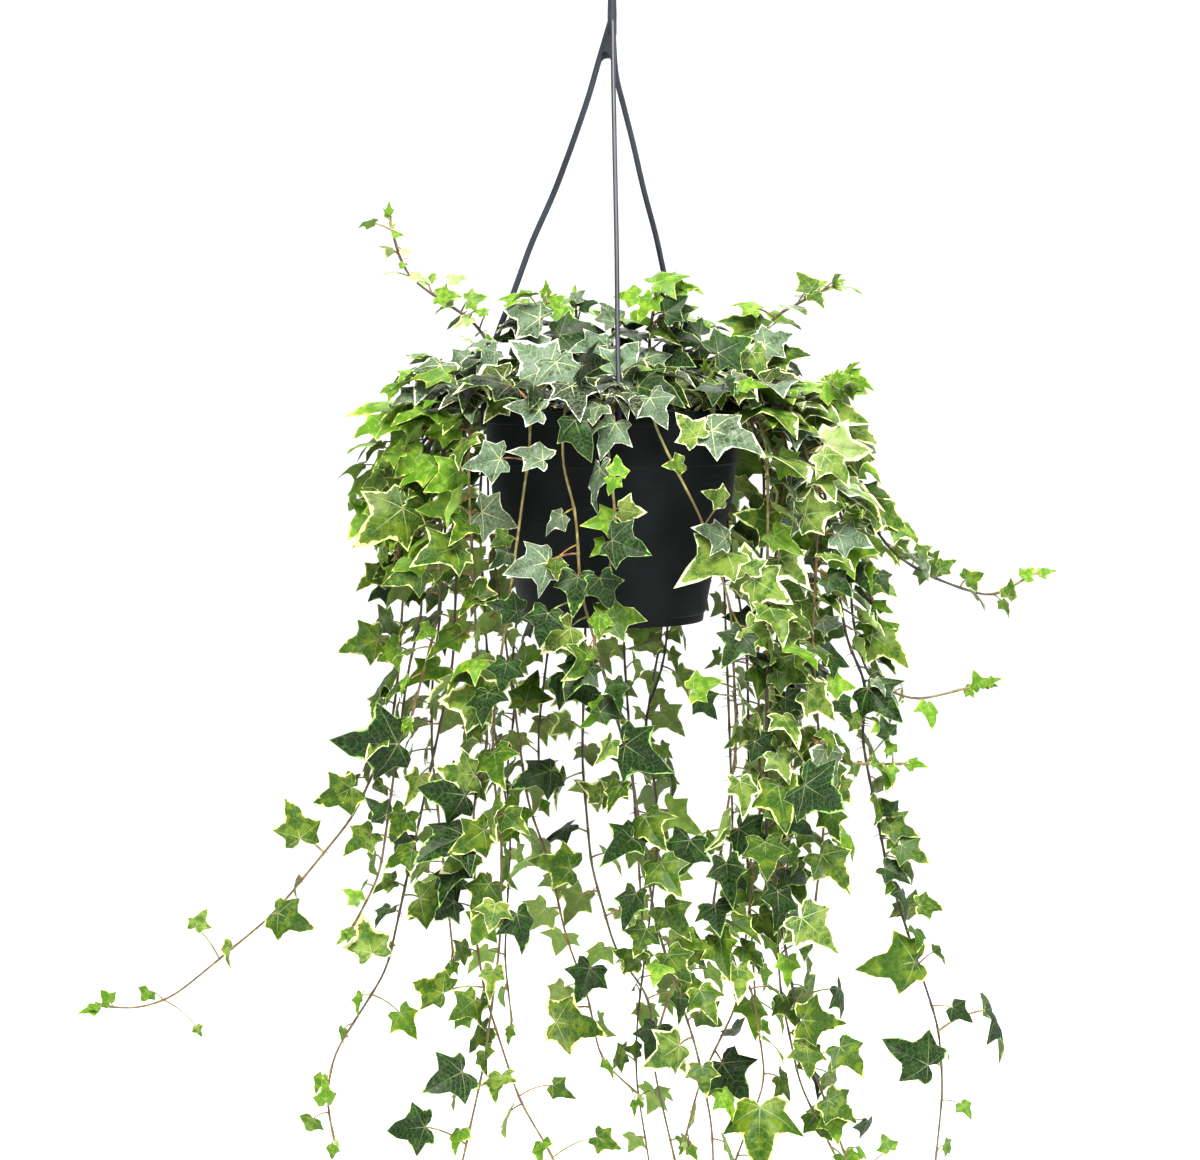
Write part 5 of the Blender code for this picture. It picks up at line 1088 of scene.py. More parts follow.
class Wiring:
    """A node tree with short ways to add to it. Sockets are given by name or number."""

    def __init__(self, tree):
        self.tree = tree

    def join(self, value, socket):
        """Leads a wire into a socket, or sets the socket to a plain value."""
        if isinstance(value, Wire):
            self.tree.links.new(value.socket, socket)
        else:
            socket.default_value = value

    def node(self, kind, sockets, out=0, **settings):
        """Adds a node and gives one of its outputs."""
        item = self.tree.nodes.new(kind)
        for name, value in settings.items():
            setattr(item, name, value)
        for name, value in sockets.items():
            self.join(value, item.inputs[name])
        return Wire(self, item.outputs[out])

    def parts(self, vector):
        first = self.node("ShaderNodeSeparateXYZ", {0: vector})
        return first, first.other("Y"), first.other("Z")

    def vector(self, x, y, z):
        return self.node("ShaderNodeCombineXYZ", {0: x, 1: y, 2: z})

    def attribute(self, name, out="Vector"):
        return self.node("ShaderNodeAttribute", {}, out, attribute_name=name)

    def place(self):
        return self.node("ShaderNodeTexCoord", {}, "Object")

    def noise(self, place, scale, detail, roughness=0.5):
        return self.node("ShaderNodeTexNoise", {"Vector": place, "Scale": scale,
                                                "Detail": detail, "Roughness": roughness})

    def grain(self, place, cloud_scale, grain_scale):
        """Cloud and fine grain of the surface, from the group that the materials share."""
        group = bpy.data.node_groups.get("soft_grain") or soft_grain_group()
        sockets = {"Place": place, "Cloud scale": cloud_scale, "Grain scale": grain_scale}
        cloud = self.node("ShaderNodeGroup", sockets, node_tree=group)
        return cloud, cloud.other("Grain")

    def mix(self, part, first, second, blend="MIX"):
        """A colour between two, each a wire or linear red, green and blue."""
        first, second = [value if isinstance(value, Wire) else (*value, 1.0)
                         for value in (first, second)]
        return self.node("ShaderNodeMix", {0: part, 6: first, 7: second}, 2, data_type="RGBA",
                         blend_type=blend)


class Group(Wiring):
    """A new node group. Its inputs and outputs are rows of name, kind of socket and default."""

    def __init__(self, name, kind, inputs, outputs):
        super().__init__(bpy.data.node_groups.new(name, kind))
        for way, rows in (("INPUT", inputs), ("OUTPUT", outputs)):
            for label, socket_kind, *default in rows:
                socket = self.tree.interface.new_socket(label, in_out=way,
                                                        socket_type="NodeSocket" + socket_kind)
                if default:
                    socket.default_value = default[0]
        self.inlets = self.tree.nodes.new("NodeGroupInput").outputs
        self.outlets = self.tree.nodes.new("NodeGroupOutput").inputs

    def given(self, name):
        return Wire(self, self.inlets[name])

    def give(self, name, value):
        self.join(value, self.outlets[name])

    def forms_on(self, points, sockets):
        """Sets one of the given forms at each point."""
        forms = self.node("GeometryNodeCollectionInfo", {
            "Collection": self.given("Forms"), "Separate Children": True, "Reset Children": True})
        sockets = {"Points": points, "Instance": forms, "Pick Instance": True, **sockets}
        return self.node("GeometryNodeInstanceOnPoints", sockets)

    def give_pieces(self, geometry):
        """Ends a Geometry Nodes tree with a plain mesh in its finish."""
        real = self.node("GeometryNodeRealizeInstances", {0: geometry})
        painted = self.node("GeometryNodeSetMaterial", {0: real, "Material": self.given("Finish")})
        self.give("Pieces", painted)
        return self.tree

    def named(self, name, kind):
        return self.node("GeometryNodeInputNamedAttribute", {"Name": name}, data_type=kind)


def piece_tree(name, inputs):
    """A Geometry Nodes tree from a guide to finished pieces, with further named inputs."""
    return Group(name, "GeometryNodeTree",
                 [("Guide", "Geometry"), ("Finish", "Material")] + inputs,
                 [("Pieces", "Geometry")])


class Look(Wiring):
    """A material that is being made round its Principled shader."""

    def __init__(self, name, preview):
        self.material = bpy.data.materials.new(name)
        self.material.use_nodes = True
        self.material.diffuse_color = (*preview, 1.0)
        super().__init__(self.material.node_tree)
        self.shader = self.tree.nodes["Principled BSDF"]

    def coat(self, colour, rough, height=None, strength=0.5, depth=0.0005, gloss=0.5):
        """Leads the colour, roughness and relief into the shader, and gives the material."""
        self.join(colour, self.shader.inputs["Base Color"])
        self.join(rough, self.shader.inputs["Roughness"])
        self.shader.inputs["Specular IOR Level"].default_value = gloss
        if height:
            sockets = {"Height": height, "Strength": strength, "Distance": depth}
            self.join(self.node("ShaderNodeBump", sockets), self.shader.inputs["Normal"])
        return self.material


# Materials

def soft_grain_group():
    """Slight cloudiness and fine grain of a moulded or grown surface."""
    scales = [("Cloud scale", "Float", 40.0), ("Grain scale", "Float", 900.0)]
    group = Group("soft_grain", "ShaderNodeTree", [("Place", "Vector")] + scales,
                  [("Cloud", "Float"), ("Grain", "Float")])
    place = group.given("Place")
    for name, detail in (("Cloud", 3.0), ("Grain", 2.0)):
        group.give(name, group.noise(place, group.given(name + " scale"), detail, 0.6))
    return group.tree


def leaf_veins_group():
    """Veins by the place on a blade: ribs from the joint, side veins and a net between them."""
    group = Group("leaf_veins", "ShaderNodeTree",
                  [("Blade place", "Vector"), ("Seed", "Float", 0.0)],
                  [("Ribs", "Float"), ("Net", "Float")])
    across, y, _ = group.parts(group.given("Blade place"))
    x = abs(across)
    side_veins = (y - x * 0.85) * 7.0
    ribs = abs(side_veins.math("FRACT") - 0.5).step(0.44, 0.5) * 0.35
    for run_x, run_y, reach, width in BLADE_RIBS:
        along = x * run_x + y * run_y
        taper = (along * -1.0 + 1.12 * reach) * (width / reach)
        off = abs(x * run_y - y * run_x) / taper.math("MAXIMUM", 0.0005)
        ribs = ribs.math("MAXIMUM", off.step(1.0, 0.25) * along.step(-0.03, 0.01))
    group.give("Ribs", ribs)
    seeded = group.vector(across, y, group.given("Seed"))
    net = group.node("ShaderNodeTexVoronoi", {"Vector": seeded, "Scale": 11.0},
                     feature="DISTANCE_TO_EDGE")
    group.give("Net", net.step(0.07, 0.0))
    return group.tree


def ivy_blade_material():
    """Leaf: green and grey patches, cream margin, pale veins, and light through the blade."""
    look = Look("ivy_blade", (0.1, 0.22, 0.05))
    place = look.attribute("blade_place")
    x, y, edge = look.parts(place)
    cream, seed, frost = look.parts(look.attribute("blade_facts"))
    under = look.attribute("underside", "Fac")
    seeded = look.vector(x, y, seed * 17.0)
    patches = look.noise(seeded, 3.4, 2.5, 0.6)
    speckle = look.noise(seeded, 13.0, 2.0)
    ribs = look.node("ShaderNodeGroup", {"Blade place": place, "Seed": seed},
                     node_tree=leaf_veins_group())
    net = ribs.other("Net")
    deep, pale, margin_tint = [look.attribute(name, "Color") for name in TINT_LAYERS]
    patchy = (patches + frost * 0.18).step(0.46, 0.66)
    wander = (patches - 0.5) * 0.5 + (speckle - 0.5) * 0.22
    margin = (edge + wander + cream).step(0.98, 1.02).math("MAXIMUM", edge.step(0.965, 0.99) * 0.7)
    colour = look.mix(margin, look.mix(patchy, deep, pale), margin_tint)
    glow = look.mix(1.0, colour, GLOW_TINT, "MULTIPLY")
    clarity = frost * 0.62 + 0.22
    colour = look.mix(ribs * clarity + net * clarity * 0.32, colour, linear(VEIN_TINT))
    shade = speckle * 0.2 + 0.9
    colour = look.mix(1.0, colour, look.vector(shade, shade, shade), "MULTIPLY")
    colour = look.mix(under, colour, look.mix(0.35, colour, linear(UNDERSIDE_TINT)))
    height = ribs * -0.8 + net * -0.22 + patches * 0.5
    look.coat(colour, speckle * 0.16 + under * 0.2 + 0.32, height, 0.55, 0.0006, 0.15)
    through = look.node("ShaderNodeBsdfTranslucent", {"Color": glow})
    surface = Wire(look, look.shader.outputs[0])
    mixed = look.node("ShaderNodeMixShader", {0: THROUGH_SHARE, 1: surface, 2: through})
    look.join(mixed, look.tree.nodes["Material Output"].inputs["Surface"])
    return look.material


def ivy_stem_material():
    """Stem, leaf stalk and aerial root: tint of its age with streaks and a rough bark."""
    look = Look("ivy_stem", (0.1, 0.07, 0.04))
    cloud, grain = look.grain(look.place(), 160.0, 1500.0)
    tint = look.attribute("stem_tint", "Color")
    dark = look.mix(1.0, tint, (0.45, 0.38, 0.34), "MULTIPLY")
    colour = look.mix(cloud.step(0.42, 0.68), dark, tint)
    return look.coat(colour, grain * 0.25 + 0.45, cloud + grain * 0.5)


def moulded_plastic(name, sizes, roughness, gloss, turned):
    """Moulded plastic: cloudy colour, a little dust, and fine turned lines where it has them."""
    look = Look(name, linear(sizes.colour))
    place = look.place()
    cloud, grain = look.grain(place, 26.0, 1400.0)
    base = look.mix(cloud.step(0.35, 0.7), linear(sizes.colour), linear(sizes.lit_colour))
    dust = look.noise(place, 420.0, 3.0, 0.7).step(0.66, 0.8) * 0.06
    height = grain * 0.5
    if turned:
        sockets = {"Vector": place, "Scale": 62.0, "Distortion": 0.35, "Detail": 2.0}
        lines = look.node("ShaderNodeTexWave", sockets, "Fac", bands_direction="Z")
        height = height + lines * 0.55
    colour = look.mix(dust, base, linear(DUST_TINT))
    return look.coat(colour, cloud * 0.16 + roughness, height, 0.35, 0.0003, gloss)


def earthy_material(name, dark, light, scale):
    """Peat or bark: crumbs of dark and lighter brown with a rough, dry surface."""
    look = Look(name, linear(dark))
    place = look.place()
    cloud, grain = look.grain(place, scale, scale * 5.0)
    crumbs = look.node("ShaderNodeTexVoronoi", {"Vector": place, "Scale": scale * 3.0})
    colour = look.mix((cloud * 0.7 + crumbs * 0.4).step(0.35, 0.85), linear(dark), linear(light))
    return look.coat(colour, grain * 0.2 + 0.8, grain + crumbs, 0.8, 0.0012)


def studio_paper_material():
    """White paper of the studio, faintly cloudy and lit a little by itself."""
    look = Look("studio_paper", (0.9, 0.9, 0.9))
    cloud = look.noise(look.place(), 0.6, 1.0)
    look.shader.inputs["Emission Color"].default_value = (0.985, 0.99, 1.0, 1.0)
    look.shader.inputs["Emission Strength"].default_value = 0.35
    return look.coat(look.mix(cloud, (0.9, 0.9, 0.905), (0.86, 0.865, 0.875)), 0.9)


# Leaves

def leaf_kind(leaf, rng):
    """Colouring of a leaf: as read from the photograph, or drawn by where the leaf hangs."""
    if leaf.vine.name.startswith("top_left"):
        return rng.choice("plp")
    if leaf.kind != "r":
        return leaf.kind[0]
    return rng.choice(area_at(COLOUR_AREAS, leaf.joint, "gmmvvdl"))


def blade_sag(x, y, fold, phase):
    """Height on a blade of unit length: sagging lobes, a wavy edge and a fold along its rib."""
    reach = math.hypot(x, y - BLADE_CENTRE)
    turn = math.atan2(x, y - BLADE_CENTRE)
    wave = 0.045 * reach * math.sin(5.0 * turn + phase)
    wave += 0.028 * reach * math.sin(9.0 * turn + 2.0 * phase)
    tip = max(y - 0.5, 0.0)
    return wave + fold * abs(x) - 0.62 * x * x - 0.14 * y * y - 0.55 * tip * tip


def blade_form(name, half, fold, thickness, rng, collection):
    """One closed blade of unit length, whose points carry their place on it."""
    phase = rng.uniform(0.0, 6.0)
    sides = []
    for sign in (1.0, -1.0):
        lobe = rng.uniform(0.9, 1.08)
        base = rng.uniform(0.88, 1.1)
        row = []
        for x, y in half[1:-1]:
            lift = rng.uniform(-0.012, 0.012)
            width = base if y < 0.05 else lobe
            row.append((sign * x * width + rng.uniform(-0.008, 0.008), y + lift))
        sides.append(row)
    edge = [half[0]] + sides[0] + [(rng.uniform(-0.05, 0.05), 1.0)] + sides[1][::-1]
    count = len(edge)
    rows = [(x, y, 1.0, 0.0) for x, y in edge]
    for drop in (0.0, thickness):
        rows += [(x * INNER_RING, BLADE_CENTRE + (y - BLADE_CENTRE) * INNER_RING, INNER_RING, drop)
                 for x, y in edge]
        rows.append((0.0, BLADE_CENTRE, 0.0, drop))
    verts = []
    for x, y, share, drop in rows:
        groove = GROOVE_DEPTH if share < 1.0 and abs(x) < 0.02 else 0.0
        verts.append((x, y, blade_sag(x, y, fold, phase) - groove - drop))
    faces = []
    for ring in (count, 2 * count + 1):
        for index in range(count):
            after = (index + 1) % count
            faces.append((ring + count, ring + index, ring + after))
            faces.append((ring + index, index, after, ring + after))
    mesh = closed_mesh(name, verts, faces)
    shade_round(mesh, 50.0)
    crease = mesh.attributes["sharp_edge"].data
    for index, edge in enumerate(mesh.edges):
        ends = [verts[corner] for corner in edge.vertices]
        if all(abs(end[0]) < RIB_BAND and end[1] >= BLADE_CENTRE for end in ends):
            crease[index].value = True
    places = [(abs(x), y, share) for x, y, share, _ in rows]
    set_attribute(mesh, "blade_place", "FLOAT_VECTOR", places)
    set_attribute(mesh, "underside", "FLOAT", [0.0] * (2 * count) + [1.0] * (2 * count), "FACE")
    new_object(name, mesh, collection)


def blade_forms(thickness):
    """All blade forms, named so that they stay in order: small, grown and folded ones."""
    forms = bpy.data.collections.new("blade_forms")
    for index in range(len(SMALL_FORMS + LARGE_FORMS + FOLDED_FORMS)):
        half = THREE_LOBED_EDGE if index in SMALL_FORMS else FIVE_LOBED_EDGE
        fold = SHARP_FOLD if index in FOLDED_FORMS else RIB_FOLDS[index % 3]
        rng = random.Random(40 + index)
        blade_form("blade_form_%02d" % index, half, fold, thickness, rng, forms)
    return forms


def leaf_setting_tree():
    """Sets a blade form at each leaf's joint, turned and sized by the values on its point."""
    group = piece_tree("leaf_setting", [("Forms", "Collection"), ("Blade scale", "Float", 1.0)])
    along, face, size = [group.named(name, "FLOAT_VECTOR") for name in ("along", "face", "size")]
    turn = group.node("FunctionNodeAxesToRotation", {0: along, 1: face},
                      primary_axis="Y", secondary_axis="Z")
    size = group.node("ShaderNodeVectorMath", {0: size, "Scale": group.given("Blade scale")},
                      operation="SCALE")
    form = group.named("form", "INT")
    return group.give_pieces(group.forms_on(
        group.given("Guide"), {"Instance Index": form, "Rotation": turn, "Scale": size}))


def rolled(leaf, rng):
    """Upward direction of a blade, rolled a little about its own rib as grown leaves are."""
    roll = rng.uniform(-0.5, 0.5) * (FREE_ROLL if leaf.kind == "r" else 1.0)
    face = leaf.face * math.cos(roll) + leaf.across * math.sin(roll)
    if leaf.joint.z > RIM_Z - 0.015:
        face.z += rng.uniform(0.3, 1.0)
    return face


def pitched(leaf, rng):
    """Direction and length of a blade tipped to or from the viewer, its tip seen where it was."""
    sight = (leaf.joint + leaf.along * leaf.length - VIEW_POINT).normalized()
    run = (leaf.along + sight * rng.uniform(-0.42, 0.3)) * leaf.length
    beside_the_pot = abs(leaf.joint.x) > 0.085 and abs(leaf.joint.z - RIM_Z + 0.09) < 0.1
    if leaf.kind == "r" and beside_the_pot:
        run.z *= rng.uniform(0.25, 0.85)
        run.x += math.copysign(0.3 * leaf.length, leaf.joint.x)
    return run


def leaf_points(vine):
    """Mesh of the joints of a stem's leaves, with everything that sets each blade."""
    rng = random.Random("colours of " + vine.name)
    facts = {"face": [], "along": [], "size": [], "blade_facts": []}
    tints = {name: [] for name in TINT_LAYERS}
    forms = []
    for leaf in vine.leaves:
        folded = leaf.width < 0.7
        *colours, least, most, frost = LEAF_COLOURS[leaf_kind(leaf, rng)]
        run = pitched(leaf, rng)
        length = run.length * (0.72 if vine.name.startswith("top_left") else 1.0)
        width = length * (0.75 if folded else leaf.width) * rng.uniform(0.94, 1.06)
        facts["face"].append(rolled(leaf, rng)[:])
        facts["along"].append(run.normalized()[:])
        facts["size"].append((width, length, length * leaf.curl))
        facts["blade_facts"].append((rng.uniform(least, most), rng.random(),
                                     frost * rng.uniform(0.7, 1.1)))
        kinds = SMALL_FORMS if leaf.length < SMALL_BLADE else LARGE_FORMS
        kinds = FOLDED_FORMS if folded else kinds
        forms.append(rng.choice(kinds))
        shade = LEAF_DEPTH * rng.uniform(0.82, 1.16)
        # Painted shade: blades by rule over the soil are darkened as if in the shoots' shadow, most
        # near the soil
        painted_shade_over_soil = leaf.joint.z > RIM_Z - 0.01 and plan_radius(leaf.joint) < 0.11
        if leaf.kind == "r" and painted_shade_over_soil:
            shade *= LOW_PAINTED_SHADE if leaf.joint.z < RIM_Z + 0.03 else HIGH_PAINTED_SHADE
        warm = rng.uniform(-0.05, 0.05)
        for name, colour, tone in zip(TINT_LAYERS, colours, (shade, shade, MARGIN_DEPTH)):
            red, green, blue = linear(colour)
            tints[name].append((red * tone * (1.0 + warm), green * tone,
                                blue * tone * (1.0 - warm), 1.0))
    mesh = new_mesh("joints", [leaf.joint for leaf in vine.leaves], [])
    layers = {"FLOAT_VECTOR": facts, "FLOAT_COLOR": tints, "INT": {"form": forms}}
    for kind, columns in layers.items():
        for name, values in columns.items():
            set_attribute(mesh, name, kind, values)
    return mesh


# Stems

class StemLines:
    """The centre lines of a stem, its leaf stalks and aerial roots, with thickness and tint."""

    def __init__(self):
        self.verts = []
        self.edges = []
        self.thick = []
        self.tints = []

    def add(self, points, thick, tints):
        first = len(self.verts)
        self.verts += points
        self.edges += [(index, index + 1) for index in range(first, first + len(points) - 1)]
        self.thick += thick
        self.tints += [(*linear(tint), 1.0) for tint in tints]

    def mesh(self):
        mesh = new_mesh("lines", self.verts, [], self.edges)
        set_attribute(mesh, "thickness", "FLOAT", self.thick)
        set_attribute(mesh, "stem_tint", "FLOAT_COLOR", self.tints)
        return mesh


def stem_colour(point, share, woody):
    """Woody brown on old stems, olive in front of the pot, and reddish on young growth."""
    before_pot = point.y < -0.05 and RIM_Z - 0.16 < point.z < RIM_Z + 0.01
    young = min(max((share - 0.7) / 0.3, 0.0), 1.0) ** 1.5
    return blend_tints(OLIVE_TINT if before_pot else woody, YOUNG_TINT, young)


def stem_lines(vine, sizes):
    """All lines of one stem: the stem with its nodes, a stalk to each leaf, and aerial roots."""
    rng = random.Random("stem " + vine.name)
    route = vine.soft_route(sizes.route_step)
    shares = [index / (len(route) - 1) for index in range(len(route))]
    thick = [sizes.root_radius + (sizes.tip_radius - sizes.root_radius) * share ** 2
             for share in shares]
    nodes = [min(range(len(route)), key=lambda index: (route[index] - leaf.root).length_squared)
             for leaf in vine.leaves]
    for index in set(nodes):
        thick[index] *= NODE_SWELL
    lines = StemLines()
    woody = rng.choice(WOODY_TINTS)
    tints = [stem_colour(point, share, woody) for point, share in zip(route, shares)]
    lines.add(route, thick, tints)
    for leaf, index in zip(vine.leaves, nodes):
        add_leaf_stalk(lines, route[index], leaf, rng)
    for index in sorted(set(nodes)):
        near_pot = plan_radius(route[index]) < 0.1 and route[index].z > RIM_Z - POT_HEIGHT
        rooting = not near_pot and index > 3 and shares[index] < 0.85
        if rooting and rng.random() < sizes.root_share:
            add_aerial_roots(lines, route, index, thick[index], sizes.root_hair_length, rng)
    return lines.mesh()


def add_leaf_stalk(lines, start, leaf, rng):
    """A leaf stalk: it leaves the stem, arches over and meets the blade from behind."""
    end = leaf.joint + leaf.along * (0.02 * leaf.length) - leaf.face * 0.0003
    reach = (end - start).length
    middle = start.lerp(end, 0.55) + Vector((0.0, 0.0, 0.16 * reach)) - leaf.face * (0.1 * reach)
    points = bent_line(start, middle, end, 6)
    radius = STALK_RADIUS + STALK_GROWTH * leaf.length
    tint = rng.choice(STALK_TINTS)
    tints = [blend_tints(YOUNG_TINT, tint, min(1.0, 0.4 + 0.2 * step)) for step in range(7)]
    lines.add(points, [radius * (1.25 - 0.35 * step / 6.0) for step in range(7)], tints)


def add_aerial_roots(lines, route, index, radius, usual_length, rng):
    """A few short hairs that leave a node of the stem to all sides."""
    along = direction_at(route, index)
    for _ in range(rng.randint(2, 4)):
        side = along.cross(random_vector(rng, 1.0)).normalized()
        start = route[index] + along * rng.uniform(-0.003, 0.003) + side * (0.5 * radius)
        length = usual_length * rng.uniform(0.5, 1.1)
        bend = Vector((rng.uniform(-1, 1), rng.uniform(-1, 1), -1.0)) * (0.3 * length)
        points = [start, start + side * (0.55 * length), start + side * length + bend]
        lines.add(points, HAIR_RADII, [ROOT_TINT] * 3)


def stem_sweep_tree():
    """Sweeps a round section along the lines of a stem, as thick as each point says."""
    group = piece_tree("stem_sweep", [("Sides", "Int", 6)])
    lines = group.node("GeometryNodeMeshToCurve", {0: group.given("Guide")})
    section = group.node("GeometryNodeCurvePrimitiveCircle",
                         {"Resolution": group.given("Sides"), "Radius": 1.0})
    return group.give_pieces(group.node("GeometryNodeCurveToMesh", {
        "Curve": lines, "Profile Curve": section, "Scale": group.named("thickness", "FLOAT"),
        "Fill Caps": True}))


# Pot, hanger and compost

# Section of the straps and the hook: its sides, and how near to a rectangle it comes below 1
BAND_SIDES = 16
BAND_ROUNDNESS = 0.65

# Steps round a moulded edge, and the peg slots and drain holes as they are cut
EDGE_STEPS = 3
SLOT_RADIUS = 0.0835
SLOT_REACH = 0.008
DRAIN_CUT = 0.006
DRAIN_SIDES = 24

# Compost: rings and sides of its top, the top's radius, and (radius, depth) rows of its wall in mm
COMPOST_RINGS = 34
COMPOST_SIDES = 96
COMPOST_RADIUS = 0.0822
COMPOST_WALL = [(80.8, 36.8), (77.9, 58.0), (74.2, 75.0), (69.6, 94.0), (64.8, 110.0),
                (58.6, 140.0)]


def rounded_profile(rows, radius):
    """(radius, height) rows with each corner replaced by a small arc."""
    points = [Vector(row) for row in rows]
    result = [points[0]]
    for before, corner, after in zip(points, points[1:], points[2:]):
        back = before - corner
        ahead = after - corner
        shortest = min(back.length, ahead.length)
        if shortest < 1e-7 or back.angle(ahead) > math.radians(172.0):
            result.append(corner)
            continue
        cut = min(radius, 0.4 * shortest)
        start = corner + back.normalized() * cut
        end = corner + ahead.normalized() * cut
        result += bent_line(start, corner, end, EDGE_STEPS)
    return result + [points[-1]]


def turned_mesh(name, rows, sides):
    return closed_mesh(name, *turned_shape(rows, sides))


def placed(mesh, place, angle=0.0):
    """The mesh turned about the vertical and moved to its place."""
    mesh.transform(Matrix.Translation(Vector(place)) @ Matrix.Rotation(angle, 4, "Z"))
    return mesh


def block_mesh(name, place, size, angle, edge=0.0):
    """A block turned about the vertical, with softened edges where edge isn't 0."""
    work = bmesh.new()
    bmesh.ops.create_cube(work, size=1.0)
    bmesh.ops.scale(work, vec=size, verts=work.verts)
    if edge:
        bmesh.ops.bevel(work, geom=work.edges[:], offset=edge, segments=2, affect="EDGES",
                        profile=0.5)
    return placed(mesh_of(work, name), place, angle)


def joined_mesh(name, meshes):
    """One mesh from several, each closed in itself."""
    work = bmesh.new()
    for mesh in meshes:
        work.from_mesh(mesh)
        bpy.data.meshes.remove(mesh)
    return mesh_of(work, name)


def cut_mesh(mesh, cutters):
    """The mesh with the cutters' shapes taken out of it."""
    body = new_object("cut_body", mesh)
    shapes = bpy.data.collections.new("cutters")
    for cutter in cutters:
        new_object(cutter.name, cutter, shapes)
    boolean = body.modifiers.new("cut", "BOOLEAN")
    boolean.operand_type = "COLLECTION"
    boolean.collection = shapes
    result = plain_mesh(body)
    remove_all(list(shapes.objects) + [body])
    bpy.data.collections.remove(shapes)
    return result


def swept_band(name, route, wide, thick, across_to):
    """A strap with a rounded flat section along a route, its wide side towards a direction."""
    verts = []
    for index, point in enumerate(route):
        along = direction_at(route, index)
        across = (across_to - along * across_to.dot(along)).normalized()
        out = along.cross(across)
        for turn in turns(BAND_SIDES, 0.5):
            c, s = [math.copysign(abs(value) ** BAND_ROUNDNESS, value)
                    for value in (math.cos(turn), math.sin(turn))]
            verts.append(point + across * (c * wide / 2.0) + out * (s * thick / 2.0))
    return closed_mesh(name, verts, wall_faces(len(route), BAND_SIDES))


def strap_route(name):
    """Fine route of a strap, from inside the hub to the middle of its peg."""
    corners = strap_corners(name)
    top = Vector((corners[0].x * 0.3, corners[0].y * 0.3, HUB_BOTTOM_Z + 0.01))
    end = corners[-1]
    peg = [Vector((end.x, end.y, RIM_Z - drop)) for drop in (0.003, 0.006, 0.009, 0.0125)]
    return smooth_route([top] + corners[1:-2], 0.006) + peg


def hub_web(name, first, second, thickness):
    """Thin web in the fork between two straps, with a hollow lower edge."""
    up = (first[0] - first[-1]).normalized()
    sheet = []
    for a, b, hollow in zip(first, second, (0.0, 0.0, 0.15, 0.5)):
        for part in (0.0, 0.25, 0.5, 0.75, 1.0):
            rise = hollow * (a - b).length * 4.0 * part * (1.0 - part)
            sheet.append(a.lerp(b, part) + up * rise)
    normal = (second[-1] - first[-1]).cross(first[0] - first[-1]).normalized() * (thickness / 2.0)
    count = len(sheet)
    faces = []
    for row in range(3):
        for column in range(4):
            a = row * 5 + column
            quad = (a, a + 1, a + 6, a + 5)
            faces += [quad, tuple(index + count for index in quad[::-1])]
    border = [0, 1, 2, 3, 4, 9, 14, 19, 18, 17, 16, 15, 10, 5]
    faces += [(a, b, b + count, a + count) for a, b in zip(border, border[1:] + border[:1])]
    verts = [vert + normal for vert in sheet] + [vert - normal for vert in sheet]
    return closed_mesh(name, verts, faces)


def hook_route():
    """Fine centre line of the shank and hook."""
    ring = HOOK_INNER_RADIUS + HOOK_THICKNESS_RADIUS
    middle = -HOOK_INNER_RADIUS
    rows = [(0.0, HUB_TOP_Z - 0.004), (0.0, HUB_TOP_Z + 0.006),
            (-0.55 * ring, middle - 1.35 * ring), (-0.93 * ring, middle - 0.62 * ring)]
    for step in range(19):
        angle = math.radians(180.0 - 12.0 * step)
        rows.append((ring * math.cos(angle), middle + ring * math.sin(angle)))
    return smooth_route([Vector((x, 0.0, z)) for x, z in rows], 0.0018)


def compost_mesh(top_roughness):
    """The compost: a rough top that dips and rises, and sides just inside the pot."""
    rng = random.Random(21)
    rings, sides = COMPOST_RINGS, COMPOST_SIDES
    verts = []
    for ring in range(1, rings + 1):
        share = ring / rings
        for point in ring_points(COMPOST_RADIUS * share, SOIL_Z, sides):
            rough = noise.noise(Vector((point.x, point.y, 3.0)) * 60.0)
            rough += 0.45 * noise.noise(Vector((point.x, point.y, 9.0)) * 260.0)
            rough = rough * top_roughness + rng.uniform(-0.0004, 0.0004)
            point.z += rough * (1.0 if share < 1.0 else 0.3) - 0.002 * share ** 6
            verts.append(point)
    for radius, depth in COMPOST_WALL:
        verts += ring_points(radius * MM, RIM_Z - depth * MM, sides)
    return closed_mesh("compost", verts, wall_faces(rings + len(COMPOST_WALL), sides))


def bark_forms():
    """Three slivers of bark, each a flat block with broken edges."""
    forms = bpy.data.collections.new("bark_forms")
    for index in range(3):
        rng = random.Random(60 + index)
        work = bmesh.new()
        bmesh.ops.create_cube(work, size=1.0)
        bmesh.ops.subdivide_edges(work, edges=work.edges[:], cuts=1, use_grid_fill=True)
        for vert in work.verts:
            x, y, z = vert.co
            taper = 1.0 - 0.7 * abs(x)
            vert.co = (x * rng.uniform(0.85, 1.15), y * 0.42 * taper * rng.uniform(0.7, 1.2),
                       z * 0.2 * rng.uniform(0.7, 1.3))
        new_object("bark_form_%d" % index, mesh_of(work, "bark_form"), forms)
    return forms


